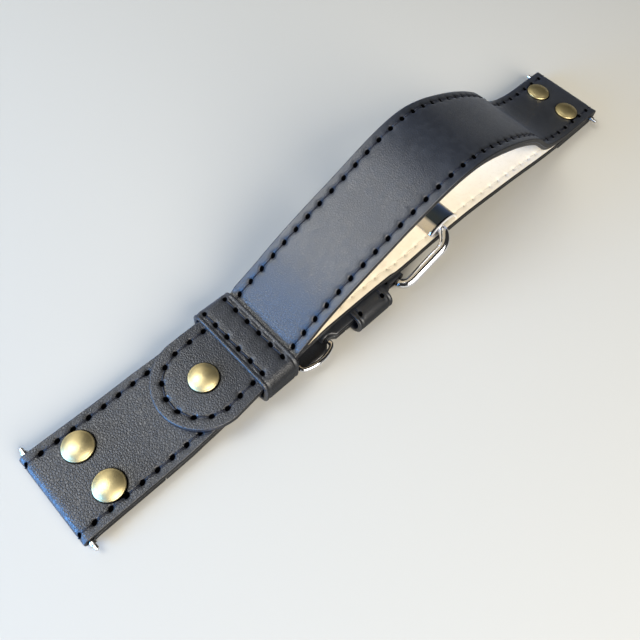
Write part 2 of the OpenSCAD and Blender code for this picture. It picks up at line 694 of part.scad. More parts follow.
// buckle
ear_in = half_w + 0.45;
buckle_flange = ear_in - 0.15 - flange_t;
buckle_tube = buckle_flange - buckle_tip_travel - 0.1;
buckle_tip_end = ear_in + buckle_tip_travel - 0.05;
ear_bore = buckle_tip_end + 0.25;
ear_round = ear_bore - 0.6;      // centre of the ear's round end
front_r = (pow(front_w / 2, 2) + pow(front_rise, 2)) / (2 * front_rise);
front_z0 = bar_z + 2.5 + long_t + 0.2;
// an arm: a short ear round the bar's tip, a corner, the straight and the bend into the front bar
module arm() {
    corner = arm_span / 2 - ear_in;
    translate([pivot_x, 0, bar_z]) rotate([0, -arm_tilt, 0]) {
        translate([0, ear_in, 0]) rotate([-90, 0, 0])
            cylinder(d = arm_d, h = ear_round - ear_in, $fn = 64);
        translate([0, ear_round, 0]) sphere(d = arm_d, $fn = 64);
        translate([corner, ear_in, 0]) rotate(90) quarter_bend(corner, arm_d);
        translate([corner, arm_span / 2, 0]) rotate([0, 90, 0])
            cylinder(d = arm_d, h = arm_len - corner, $fn = 32);
        translate([arm_len, arm_span / 2 - arm_bend, 0]) quarter_bend(arm_bend, arm_d);
    }
}
module buckle_frame() {
    color(steel_c) difference() {
        union() {
            arm();
            mirror([0, 1, 0]) arm();
            across(front_len) intersection() {
                difference() {
                    disc(front_x, front_z0 + front_rise - front_r, front_r);
                    disc(front_x, front_z0 + front_rise - front_r, front_r - front_t);
                }
                box2(front_x - front_w, front_x + front_w, front_z0, front_z0 + front_rise + 1);
            }
        }
        place_buckle() rotate([90, 0, 0])
            cylinder(d = tip_d + 2 * run_gap, h = 2 * ear_bore, center = true);
    }
}
// tongue: eye round the bar's tube, steep through the hole, then flat over the front bar
reach = front_x - pivot_x;
over_front = front_z0 + front_rise - bar_z + tongue_t / 2;
tongue_path = [[reach * 0.033, over_front * 0.13], [reach * 0.106, over_front * 0.4],
    [reach * 0.2, over_front * 0.66], [reach * 0.455, over_front * 0.905],
    [reach * 0.745, over_front + 0.3], [reach, over_front + 0.17], [reach * 1.115, over_front - 0.1]];
function dir(a, b) = (b - a) / norm(b - a);
function side_of(p, i) = let (d = i == 0 ? dir(p[0], p[1])
        : i == len(p) - 1 ? dir(p[i - 1], p[i]) : dir(p[i - 1], p[i]) + dir(p[i], p[i + 1]),
        u = d / norm(d)) [-u[1], u[0]];
module buckle_tongue() {
    p = tongue_path;
    color(steel_c) place_buckle() difference() {
        union() {
            rotate([90, 0, 0]) cylinder(r = bar_d / 2 + run_gap + 0.55, h = tongue_w + 0.4, center = true);
            across(tongue_w) polygon(concat(
                [for (i = [0:len(p) - 1]) p[i] + side_of(p, i) * tongue_t / 2],
                back([for (i = [0:len(p) - 1]) p[i] - side_of(p, i) * tongue_t / 2])));
        }
        rotate([90, 0, 0]) cylinder(r = bar_d / 2 + run_gap, h = 2 * tongue_w + 2, center = true);
    }
}
module buckle_bar_tube() {
    color(steel_c) place_buckle() tube_of_bar(buckle_tube);
}
module buckle_bar_spring() {
    color(steel_c) place_buckle() spring_of_bar(buckle_tube);
}
module buckle_bar_near_tip() {
    color(steel_c) place_buckle() mirror([0, 1, 0]) tip_of_bar(buckle_tube, buckle_flange, buckle_tip_end);
}
module buckle_bar_far_tip() {
    color(steel_c) place_buckle() tip_of_bar(buckle_tube, buckle_flange, buckle_tip_end);
}

short_strap_leather();
short_strap_lining();
short_strap_thread();
short_strap_rivet_caps();
short_strap_rivet_backs();
bar_a_tube();
bar_a_spring();
bar_a_near_tip();
bar_a_far_tip();
upper_strap_leather();
upper_strap_lining();
upper_strap_thread();
tab_rivet_cap();
tab_rivet_back();
lower_strap_leather();
lower_strap_lining();
lower_strap_thread();
lug_b_rivet_caps();
lug_b_rivet_backs();
bar_b_tube();
bar_b_spring();
bar_b_near_tip();
bar_b_far_tip();
wide_keeper();
wide_keeper_thread();
link_ring();
ring_guard();
buckle_band_leather();
buckle_band_lining();
buckle_band_thread();
small_keeper();
small_keeper_thread();
buckle_frame();
buckle_tongue();
buckle_bar_tube();
buckle_bar_spring();
buckle_bar_near_tip();
buckle_bar_far_tip();
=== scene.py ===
# Riveted leather watch strap, closed on a pale table.
# Leather parts are cut flat in millimetres, stitched, and then bent along their runs into the row frame in metres.
import bpy
import bmesh
import math
from bmesh.types import BMEdge, BMVert
from mathutils import Matrix, Vector, kdtree


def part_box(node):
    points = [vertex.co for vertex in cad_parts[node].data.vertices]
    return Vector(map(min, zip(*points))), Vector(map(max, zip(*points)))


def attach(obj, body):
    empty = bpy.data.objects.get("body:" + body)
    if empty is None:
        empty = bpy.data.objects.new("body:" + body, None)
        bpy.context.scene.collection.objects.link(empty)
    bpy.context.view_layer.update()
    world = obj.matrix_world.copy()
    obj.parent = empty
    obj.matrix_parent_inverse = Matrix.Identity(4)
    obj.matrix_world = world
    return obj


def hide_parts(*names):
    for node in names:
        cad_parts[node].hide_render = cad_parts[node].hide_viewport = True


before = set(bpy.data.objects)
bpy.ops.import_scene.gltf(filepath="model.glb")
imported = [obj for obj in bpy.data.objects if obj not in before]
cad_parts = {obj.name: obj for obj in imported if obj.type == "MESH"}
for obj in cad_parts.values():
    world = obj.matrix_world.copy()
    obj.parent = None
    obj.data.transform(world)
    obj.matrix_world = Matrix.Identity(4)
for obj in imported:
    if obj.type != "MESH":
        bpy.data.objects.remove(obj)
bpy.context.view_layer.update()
mm = 0.001
print("scene: frame loaded")


def span(node):  # a CAD node's lowest and highest corners, in millimetres
    low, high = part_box(node)
    return low / mm, high / mm


def between(a, b, share):
    return a + (b - a) * share


def lookup(x, table):  # straight lines between the pairs of a small table
    if x <= table[0][0]:
        return table[0][1]
    for (x0, y0), (x1, y1) in zip(table, table[1:]):
        if x <= x1:
            return between(y0, y1, (x - x0) / (x1 - x0))
    return table[-1][1]


# what the whole strap shares
leather = dict(outer=1.1, lining=0.7, ply=1.4, keeper=1.0, gap=0.03, tail=1.0)
seam = dict(inset=1.9, pitch=3.5, thread=0.14, rise=-0.02, slant=0.1, slitLength=0.62, slitWidth=0.42, slitTurn=25,
            slitDepth=0.5, groove=0.08, grooveSize=0.4, hollow=0.05, hollowSize=1.1, rim=0.45, reach=3)
longThick = leather["outer"] + leather["lining"]
shortThick = 2 * leather["ply"]

lugA, lugB = span("short_strap_leather")[0].x, span("upper_strap_leather")[1].x
wideLow, wideHigh = span("wide_keeper")
smallLow, smallHigh = span("small_keeper")
ringLow, ringHigh = span("link_ring")
tabLow, tabHigh = span("tab_rivet_cap")
barLow, barHigh = span("buckle_bar_tube")
frontHigh = span("buckle_frame")[1]
wire = ringHigh.z - ringLow.z
ringLeft, ringRight, ringZ = ringLow.x + wire / 2, ringHigh.x - wire / 2, (ringLow.z + ringHigh.z) / 2
tabX, tabY = (tabLow.x + tabHigh.x) / 2, (tabLow.y + tabHigh.y) / 2
tabEnd = span("upper_strap_leather")[0].x
tabRadius = tabX - tabEnd
pivotX = (barLow.x + barHigh.x) / 2
bandNose = pivotX + (barHigh.z - barLow.z) / 2  # middle of the fold round the buckle's bar
archTop = span("upper_strap_leather")[1].z
halfWidth = 10
noseA = lugA + leather["ply"]
rivetLow, rivetHigh = span("short_strap_rivet_caps")
rivetX, rivetY = (rivetLow.x + rivetHigh.x) / 2, rivetHigh.y - (rivetHigh.x - rivetLow.x) / 2
lugRivetLow, lugRivetHigh = span("lug_b_rivet_caps")
lugRivetX = (lugRivetLow.x + lugRivetHigh.x) / 2
recess = dict(size=5.7, depth=0.42, filler=0.47)  # for a rivet's back, in the leather and in the filler
lugBTop = 2 * longThick + leather["outer"]
noseB = lugB - lugBTop / 2
liningEnd = noseB - 1.43  # the sheets inside the lug B fold end here
lift = ringZ - leather["ply"]  # underside of the short strap and the band at the ring
turnBack = 17  # leather turned back under each lug fold


def onShort(x):  # station on top of the short strap
    z, slope = level(shortUnder, x)
    return (x, z + shortThick + leather["gap"], slope)


def level(line, x):  # height and slope of an underside at x
    x = min(max(x, line[0][0]), line[-1][0])
    for (x0, z0, m0), (x1, z1, m1) in zip(line, line[1:]):
        if x <= x1:
            w, t = x1 - x0, (x - x0) / (x1 - x0)
            z = (2 * t**3 - 3 * t**2 + 1) * z0 + (t**3 - 2 * t**2 + t) * w * m0
            z += (3 * t**2 - 2 * t**3) * z1 + (t**3 - t**2) * w * m1
            slope = (6 * t * t - 6 * t) * (z0 - z1) / w + (3 * t * t - 4 * t + 1) * m0 + (3 * t * t - 2 * t) * m1
            return z, slope


# undersides, as stations of place, height and slope, seen from the near side
liftedX = wideLow.x - 3.92
shortUnder = [(noseA, 0, 0), (lugA + 15.6, 0, 0), (liftedX, lift, 0), (ringRight, lift, 0)]
tailZ = lift + shortThick + leather["gap"]
stackZ = tailZ + leather["tail"] + leather["gap"]
tailX = wideLow.x + (wideHigh.x - wideLow.x) * 0.6
peakX, peakZ = lugA + 95, archTop - longThick
lugBUnder = longThick + leather["outer"]


def rise(share):
    return between(wideHigh.x, peakX, share)


def fall(share):
    return between(peakX, lugB, share)


upperUnder = [
    onShort(tabEnd), onShort(between(tabEnd, liftedX, 0.45)), onShort(liftedX),
    (between(wideLow.x, tailX, 0.1), tailZ, 0.04), (between(wideLow.x, tailX, 0.9), stackZ, 0.04),
    (rise(-0.004), stackZ + 0.07, 0.06),
    (rise(0.06), peakZ * 0.245, 0.62), (rise(0.26), peakZ * 0.47, 0.6),
    (rise(0.63), peakZ * 0.79, 0.47), (peakX, peakZ, 0.02),
    (fall(0.2), peakZ * 0.872, -0.38), (fall(0.43), peakZ * 0.577, -0.62),
    (fall(0.593), peakZ * 0.25, -0.62), (fall(0.7), lugBUnder + longThick / 2, -0.22),
    (fall(0.8), lugBUnder, 0), (noseB, lugBUnder, 0),
]
overSmall = smallHigh.z + 0.3
underFront = ringZ + 2.5
frontX = frontHigh.x - 4.65
frontEnd = frontHigh.x + 0.2
lowerUnder = [
    (tailX, tailZ, 0), (wideHigh.x + 1, tailZ, 0.03),
    (ringRight + wire, overSmall, 0.02), (smallHigh.x + 1.4, overSmall, -0.06),
    (pivotX - 0.9, ringZ + 1.9, -0.04), (pivotX + 4.5, ringZ + 1.95, 0.06),
    (frontX - 4.85, underFront, 0.01), (frontEnd, underFront, -0.01),
    (between(frontEnd, lugB, 0.29), underFront * 0.75, -0.08),
    (lugB - turnBack - 1, leather["outer"], 0), (noseB - 1.4, leather["outer"], 0),
]


class Run:  # the line that a flat strap is bent along
    def __init__(self, points):
        self.points = [Vector(p) for p in points]
        self.lengths = [0.0]
        for a, b in zip(self.points, self.points[1:]):
            self.lengths.append(self.lengths[-1] + (b - a).length)
        ways = [(b - a).normalized() for a, b in zip(self.points, self.points[1:])]
        self.out = []
        for i in range(len(self.points)):
            way = ways[max(i - 1, 0)] + ways[min(i, len(ways) - 1)]
            self.out.append(Vector((-way.y, way.x)).normalized())
        self.total = self.lengths[-1]
        self.last = 0

    def at(self, s):  # place on the run, and the way out of it
        i = self.last
        while i < len(self.points) - 2 and s > self.lengths[i + 1]:
            i += 1
        while i > 0 and s < self.lengths[i]:
            i -= 1
        self.last = i
        t = (s - self.lengths[i]) / (self.lengths[i + 1] - self.lengths[i])
        return self.points[i].lerp(self.points[i + 1], t), self.out[i].lerp(self.out[i + 1], min(max(t, 0), 1))

    def reach(self, x, first=0):  # length at which the run passes x
        for i in range(first, len(self.points) - 1):
            a, b = self.points[i].x, self.points[i + 1].x
            if a != b and min(a, b) <= x <= max(a, b):
                return between(self.lengths[i], self.lengths[i + 1], (x - a) / (b - a))
        return self.total


def raised(line, x0, x1, up, step=0.3):
    count = max(2, int(abs(x1 - x0) / step))
    points = []
    for i in range(count + 1):
        x = between(x0, x1, i / count)
        z, slope = level(line, x)
        k = math.hypot(1, slope)
        points.append((x - up * slope / k, z + up / k))
    return points


def fold(x, z, radius, start, end, steps=16):
    angles = [math.radians(between(start, end, i / steps)) for i in range(1, steps)]
    return [(x + radius * math.cos(a), z + radius * math.sin(a)) for a in angles]


def bend(bm, run, around=False, middle=0.0):  # flat s, y, height to the row frame, in metres
    for v in sorted(bm.verts, key=lambda v: v.co.x):
        place, out = run.at(v.co.x)
        a, b = place.x + out.x * v.co.z, place.y + out.y * v.co.z
        v.co = Vector((v.co.y, a + middle, b) if around else (a, v.co.y, b)) * mm
        v.co.z = max(v.co.z, 0)  # stitches under the strap are pressed flat on the table
    mend(bm)


def flatSheet(columns, rows, place):
    bm = bmesh.new()
    bmesh.ops.create_grid(bm, x_segments=len(columns) - 1, y_segments=len(rows) - 1, size=0.5)
    for v in bm.verts:
        i = round((v.co.x + 0.5) * (len(columns) - 1))
        j = round((v.co.y + 0.5) * (len(rows) - 1))
        v.co = place(columns[i], rows[j])
    return bm


def thicken(bm, low, high, rounding, segments=3):
    move(bm, (0, 0, high))
    grown = bmesh.ops.extrude_face_region(bm, geom=bm.faces[:], use_keep_orig=True)
    lower = only(BMVert, grown["geom"])
    bmesh.ops.translate(bm, verts=lower, vec=(0, 0, low - high))
    mend(bm)
    if rounding:
        rounded(bm, sharpEdges(bm), rounding, segments, True)


def stepsAlong(start, end, holes, coarse=0.7):  # even columns, finer beside each needle hole
    steps = [start, end]
    for hole in holes:
        steps += [hole + side for side in (-0.62, -0.4, -0.2, 0, 0.2, 0.4, 0.62)]
    count = max(1, int((end - start) / coarse))
    wanted = sorted(steps + [between(start, end, i / count) for i in range(count + 1)])
    kept = [start]
    fine = set(round(h, 6) for h in steps)
    for s in wanted:
        room = 0.17 if round(s, 6) in fine else 0.45
        if s - kept[-1] >= room and end - s >= 0.42:
            kept.append(s)
    return kept + [end]


def slotTool(places, length, width, low, high):  # upright bars with round ends, to cut slots with
    bm = bmesh.new()
    for x, y in places:
        grown = bmesh.ops.create_cone(bm, cap_ends=True, segments=32, radius1=width / 2, radius2=width / 2,
                                      depth=high - low)
        for v in grown["verts"]:
            stretch = (length - width) / (2 if v.co.x > -1e-6 else -2)
            v.co += Vector((x + stretch, y, (low + high) / 2))
    return bm


def boxTool(x0, x1, half, low, high):
    bm = bmesh.new()
    bmesh.ops.create_cube(bm, size=1)
    bmesh.ops.scale(bm, vec=(x1 - x0, 2 * half, high - low), verts=bm.verts[:])
    bmesh.ops.translate(bm, vec=((x0 + x1) / 2, 0, (low + high) / 2), verts=bm.verts[:])
    return bm


def meshOf(name, bm):  # the bmesh is used up
    mesh = bpy.data.meshes.new(name)
    bm.to_mesh(mesh)
    bm.free()
    return mesh


def linked(name, data):  # an object in the scene
    piece = bpy.data.objects.new(name, data)
    bpy.context.scene.collection.objects.link(piece)
    return piece


def rounded(bm, rim, offset, segments, clamp=False):
    bmesh.ops.bevel(bm, geom=rim, offset=offset, segments=segments, profile=0.5, affect="EDGES", material=-1,
                    clamp_overlap=clamp)


def mend(bm, dist=0.0):  # merges doubles and turns the faces outwards
    if dist:
        bmesh.ops.remove_doubles(bm, verts=bm.verts[:], dist=dist)
    bmesh.ops.recalc_face_normals(bm, faces=bm.faces[:])


def move(bm, way):
    bmesh.ops.translate(bm, verts=bm.verts[:], vec=way)


def only(kind, geom):
    return [g for g in geom if isinstance(g, kind)]


def sharpEdges(bm):
    return [e for e in bm.edges if e.calc_face_angle(0) > 1]


def cutWith(bm, tool):  # takes the tool away from a flat piece
    pair = []
    for name, part in (("flatPiece", bm), ("tool", tool)):
        mesh = bpy.data.meshes.new(name)
        part.to_mesh(mesh)
        pair.append(linked(name, mesh))
    cut = pair[0].modifiers.new("cut", "BOOLEAN")
    cut.operation, cut.solver, cut.object = "DIFFERENCE", "EXACT", pair[1]
    done = pair[0].evaluated_get(bpy.context.evaluated_depsgraph_get())
    bm.clear()
    bm.from_mesh(done.to_mesh())
    done.to_mesh_clear()
    tool.free()
    for piece in pair:
        bpy.data.meshes.remove(piece.data)


edgeRows = [0, 0.5, 0.9, 1.28, 1.5, 1.7, 1.9, 2.1, 2.3, 2.52, 3.0, 4.2, 6.0, 8.0]


class Strip:  # a straight strip: half width and middle over x
    def __init__(self, run, start, end, half, middle=lambda x: 0.0):
        self.run, self.start, self.end = run, start, end
        self.half = lambda s: half(run.at(s)[0].x)
        self.middle = lambda s: middle(run.at(s)[0].x)
        self.slots = []  # middle, length and width of each slot along the strip

    def holes(self, first, last, pitch=seam["pitch"]):
        count = int((last - first) / pitch)
        return [first + i * pitch for i in range(count + 1)]

    def seams(self, holes, inset=seam["inset"]):
        rows = []
        for side in (-1, 1):
            rows.append([Vector((s, self.middle(s) + side * (self.half(s) - inset), 0)) for s in holes])
        return rows

    def sheet(self, holes, rows=edgeRows):
        sides = [(-1, d) for d in rows] + [(1, d) for d in reversed(rows)]
        columns = stepsAlong(self.start, self.end, holes)
        return flatSheet(columns, sides, lambda s, row: Vector(
            (s, self.middle(s) + row[0] * (self.half(s) - row[1]), 0)))

    def inward(self, s, y):  # distance from the outline
        near = min(self.half(s) - abs(y - self.middle(s)), s - self.start, self.end - s)
        for x, length, width in self.slots:
            near = min(near, math.hypot(max(abs(s - x) - (length - width) / 2, 0), y) - width / 2)
        return near


class Tongued(Strip):  # a strip whose start is round: its rows follow the outline
    def __init__(self, run, start, end, half, middle, radius, inset=0.0):
        super().__init__(run, start, end, half, middle)
        self.centre, self.radius = start + radius, radius
        self.tight = inset

    def outline(self, where, d):
        side, value = where
        x = self.run.at(value)[0].x if side else tabX
        d += self.tight + min(1, d / seam["inset"]) * lookup(x, [(wideLow.x, 0.5), (wideHigh.x, 0)])
        if side:
            if d > 9:
                d = self.half(value)
            return Vector((value, self.middle(value) + side * (self.half(value) - d), 0))
        r = self.radius - min(d, self.radius)
        return Vector((self.centre - r * math.sin(value), self.middle(self.centre) - r * math.cos(value), 0))

    def seams(self, holes, turns):
        inset = seam["inset"] - self.tight
        near = [self.outline((-1, s), inset) for s in reversed(holes)]
        bow = [self.outline((0, a), inset) for a in turns]
        far = [self.outline((1, s), inset) for s in holes]
        return [near + bow + far]

    def sheet(self, holes, turns, rows=edgeRows):
        straight = stepsAlong(self.centre, self.end, holes)
        scale = self.radius - seam["inset"]
        bow = [a / scale for a in stepsAlong(0, math.pi * scale, [t * scale for t in turns])][1:-1]
        columns = [(-1, s) for s in reversed(straight)] + [(0, a) for a in bow] + [(1, s) for s in straight]
        bm = flatSheet(columns, list(rows) + [99], self.outline)
        bmesh.ops.remove_doubles(bm, verts=bm.verts[:], dist=0.002)
        return bm

    def inward(self, s, y):
        if s > self.centre:
            return min(self.half(s) - abs(y - self.middle(s)), self.end - s)
        return self.radius - math.hypot(s - self.centre, y - self.middle(self.centre))


def markSeams(bm, strip, rows, faceZ, side, depth=1.0):  # grooves and needle holes pressed into one face
    needle = bm.verts.layers.float.new("needle")
    rim = bm.verts.layers.float.new("rim")
    points = [(p, i, k) for i, row in enumerate(rows) for k, p in enumerate(row)]
    tree = kdtree.KDTree(max(1, len(points)))
    for n, (p, i, k) in enumerate(points):
        tree.insert(p, n)
    tree.balance()
    slitTurn = Matrix.Rotation(math.radians(side * seam["slitTurn"]), 3, "Z")
    for v in bm.verts:
        v[rim] = math.exp(-max(strip.inward(v.co.x, v.co.y), 0) / seam["rim"])
        if not points or abs(v.co.z - faceZ) > 0.02:
            continue
        flat = Vector((v.co.x, v.co.y, 0))
        n, away = tree.find(flat)[1:]
        if away > seam["reach"]:
            continue
        p, i, k = points[n]
        off = away
        way = Vector((1, 0, 0))
        for other in (k - 1, k + 1):
            if 0 <= other < len(rows[i]):
                q = rows[i][other]
                way = (q - p).normalized()
                t = min(max((flat - p).dot(q - p) / (q - p).length_squared, 0), 1)
                off = min(off, (flat - p.lerp(q, t)).length)
        way.rotate(slitTurn)
        along, across = (flat - p).dot(way), (flat - p).cross(way).z
        hole = math.exp(-(along / seam["slitLength"]) ** 2 - (across / seam["slitWidth"]) ** 2)
        v[needle] = hole
        sink = seam["slitDepth"] * hole + seam["groove"] * math.exp(-(off / seam["grooveSize"]) ** 2)
        sink += seam["hollow"] * math.exp(-(off / seam["hollowSize"]) ** 2)
        v.co.z -= side * depth * sink


def makeThread(rows, faceZ, side, radius=seam["thread"], sides=6):
    up = seam["rise"]
    shape = [(0.12, -0.6), (0.15, -0.36), (0.22, up - 0.06), (0.5, up), (0.78, up - 0.06), (0.85, -0.36), (0.88, -0.6)]
    template = bmesh.new()
    ring = bmesh.ops.create_circle(template, cap_ends=True, segments=sides, radius=radius)["verts"]
    bmesh.ops.rotate(template, verts=ring, matrix=Matrix.Rotation(math.pi / 2, 3, "Y"))
    bmesh.ops.translate(template, verts=ring, vec=(shape[0][0], 0, 0))
    edges = list({e for v in ring for e in v.link_edges})
    for t, up in shape[1:]:
        grown = bmesh.ops.extrude_edge_only(template, edges=edges)["geom"]
        ring, edges = only(BMVert, grown), only(BMEdge, grown)
        for v in ring:
            v.co.x = t
    bmesh.ops.holes_fill(template, edges=template.edges[:], sides=sides)
    for v in template.verts:
        v.co.z += lookup(v.co.x, shape)
    mesh = meshOf("stitchTemplate", template)
    bm = bmesh.new()
    for row in rows:
        for a, b in zip(row, row[1:]):
            first = len(bm.verts)
            bm.from_mesh(mesh)
            bm.verts.ensure_lookup_table()
            way = (b - a).normalized()
            cross = Vector((-way.y, way.x, 0))
            for v in bm.verts[first:]:
                t, across, up = v.co
                spot = a.lerp(b, between(0.03, 0.97, t)) + cross * (across + seam["slant"] * (1 - 2 * t))
                v.co = Vector((spot.x, spot.y, faceZ + side * up))
    bpy.data.meshes.remove(mesh)
    return bm


def markShadedSide(bm):  # painted shade: 1 where the leather faces to the near right, away from the window lamps; matt black is mixed in there
    bm.normal_update()
    shadedSide = bm.loops.layers.float.new("shadedSide")
    for f in bm.faces:
        for corner in f.loops:
            n = corner.vert.normal
            if n.dot(f.normal) < 0.85:
                n = f.normal
            corner[shadedSide] = max(0.0, min(1.0, (0.75 * (n.x - n.y) - 0.2) / 0.4))


def asPiece(bm, name, body, finish, nodes=(), scale=1.0):
    for f in bm.faces:
        f.smooth = True
    # black leather gets a painted-shade mask from the way its faces turn
    if finish is black:
        markShadedSide(bm)
    if scale != 1:
        bmesh.ops.scale(bm, vec=(scale,) * 3, verts=bm.verts[:])
    piece = linked(name, meshOf(name, bm))
    piece.data.materials.append(finish)
    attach(piece, body)
    if nodes:
        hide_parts(*nodes)


def asLeather(bm, name, node, body="strap"):
    asPiece(bm, name, body, black, [node])


def sew(name, run, thread, node=None, tail=False):  # navy where a CAD node has it, pale in the lining
    if tail:
        skive(thread, run)
    bend(thread, run)
    if node:
        asPiece(thread, name, "strap", navyThread, [node])
    else:
        asPiece(thread, name, "strap", paleThread)


def makePlain(name, run, half, thickness, node, backs=()):  # an unstitched leather piece
    strip = Strip(run, 0, run.total, half)
    bm = strip.sheet([])
    thicken(bm, 0, thickness, 0.2)
    if backs:
        cutRecesses(bm, [(run.reach(x), y) for x, y in backs], -1, recess["filler"])
    markSeams(bm, strip, [], 0, 1)
    bend(bm, run)
    asLeather(bm, name, node)


def cutRecesses(bm, places, low, high):  # room for the rivets' backs
    cutWith(bm, slotTool(places, recess["size"], recess["size"], low, high))


class Wire:  # a socket that adds its own Math nodes when it is used in a sum
    def __init__(self, tree, socket):
        self.tree, self.socket = tree, socket

    def joined(self, kind, a, b=None, clamp=False):
        node = self.tree.nodes.new("ShaderNodeMath")
        node.operation, node.use_clamp = kind, clamp
        for slot, value in zip(node.inputs, (a, b)):
            if isinstance(value, Wire):
                self.tree.links.new(value.socket, slot)
            elif value is not None:
                slot.default_value = value
        return Wire(self.tree, node.outputs[0])

    def __add__(self, other): return self.joined("ADD", self, other)
    def __radd__(self, other): return self.joined("ADD", other, self)
    def __sub__(self, other): return self.joined("SUBTRACT", self, other)
    def __rsub__(self, other): return self.joined("SUBTRACT", other, self)
    def __mul__(self, other): return self.joined("MULTIPLY", self, other)
    def __truediv__(self, other): return self.joined("DIVIDE", self, other)
    def __pow__(self, other): return self.joined("POWER", self, other)
    def clamped(self): return self.joined("ADD", self, 0.0, True)


class Finish:  # one material, with its shader at hand
    def __init__(self, name, **plain):
        self.material = bpy.data.materials.new(name)
        self.material.use_nodes = True
        self.tree = self.material.node_tree
        self.tree.nodes.clear()
        self.shader = self.tree.nodes.new("ShaderNodeBsdfPrincipled")
        self.output = self.tree.nodes.new("ShaderNodeOutputMaterial")
        self.tree.links.new(self.shader.outputs[0], self.output.inputs[0])
        for socket, value in plain.items():
            self.feed(self.shader, socket.replace("_", " "), value)
        self.place = self.add("ShaderNodeTexCoord").outputs["Object"]

    def feed(self, node, socket, value):
        if isinstance(value, Wire):
            value = value.socket
        if isinstance(value, bpy.types.NodeSocket):
            self.tree.links.new(value, node.inputs[socket])
        else:
            node.inputs[socket].default_value = value

    def add(self, kind, settings=None, values=None):
        node = self.tree.nodes.new(kind)
        for name, value in (settings or {}).items():
            setattr(node, name, value)
        for socket, value in (values or {}).items():
            self.feed(node, socket, value)
        return node

    def wire(self, node, socket=0):
        return Wire(self.tree, node.outputs[socket])

    def noise(self, size, detail=3.0, roughness=0.5):  # size of a grain in mm
        return self.wire(self.add("ShaderNodeTexNoise", {}, {
            "Vector": self.place, "Scale": 1 / (size * mm), "Detail": detail, "Roughness": roughness}))

    def cells(self, size):  # distance to the edge of the nearest cell
        return self.wire(self.add("ShaderNodeTexVoronoi", {"feature": "DISTANCE_TO_EDGE"}, {
            "Vector": self.place, "Scale": 1 / (size * mm)}), "Distance")

    def axes(self):  # x and y on the strap, in metres
        split = self.add("ShaderNodeSeparateXYZ", {}, {"Vector": self.place})
        return self.wire(split, 0), self.wire(split, 1)

    def attribute(self, name):
        return self.wire(self.add("ShaderNodeAttribute", {"attribute_name": name}), "Fac")

    def hollow(self, share, colour):  # a matt dark shader where the share is 1, used for painted shade
        dark = self.add("ShaderNodeBsdfPrincipled", {}, {
            "Base Color": (*colour, 1), "Roughness": 1.0, "Specular IOR Level": 0.0})
        mix = self.add("ShaderNodeMixShader")
        self.feed(mix, 0, share)
        self.feed(mix, 1, self.shader.outputs[0])
        self.feed(mix, 2, dark.outputs[0])
        self.tree.links.new(mix.outputs[0], self.output.inputs[0])

    def blend(self, share, a, b):
        node = self.add("ShaderNodeMix", {"data_type": "RGBA"})
        self.feed(node, 0, share)
        for socket, colour in ((6, a), (7, b)):
            self.feed(node, socket, colour if isinstance(colour, Wire) else (*colour, 1))
        return Wire(self.tree, node.outputs[2])

    def bump(self, height, depth, strength=1.0, under=None):  # depth in mm
        values = {"Height": height, "Distance": depth * mm, "Strength": strength}
        if under:
            values["Normal"] = under
        return self.wire(self.add("ShaderNodeBump", {}, values))


def softRange(wire, low, high):
    return ((wire - low) / (high - low)).clamped()


def lowest(a, b):
    return a.joined("MINIMUM", a, b)


# the last three line values place the painted contact shadow round the rivet caps; the last value is the share of
# painted shade on sides turned from the window lamps
blackSkin = dict(colour=(0.017, 0.019, 0.023), worn=(0.034, 0.038, 0.046), dark=(0.003, 0.003, 0.004),
                 grain=0.5, grainDepth=0.05, roughness=0.45, shine=0.85, smoothFrom=-0.042, smoothTo=-0.026,
                 capShadowShift=0.1, capShadowFrom=(0.0025, 0.0026), capShadowTo=(0.00308, 0.00334), shadedSideShare=0.6)


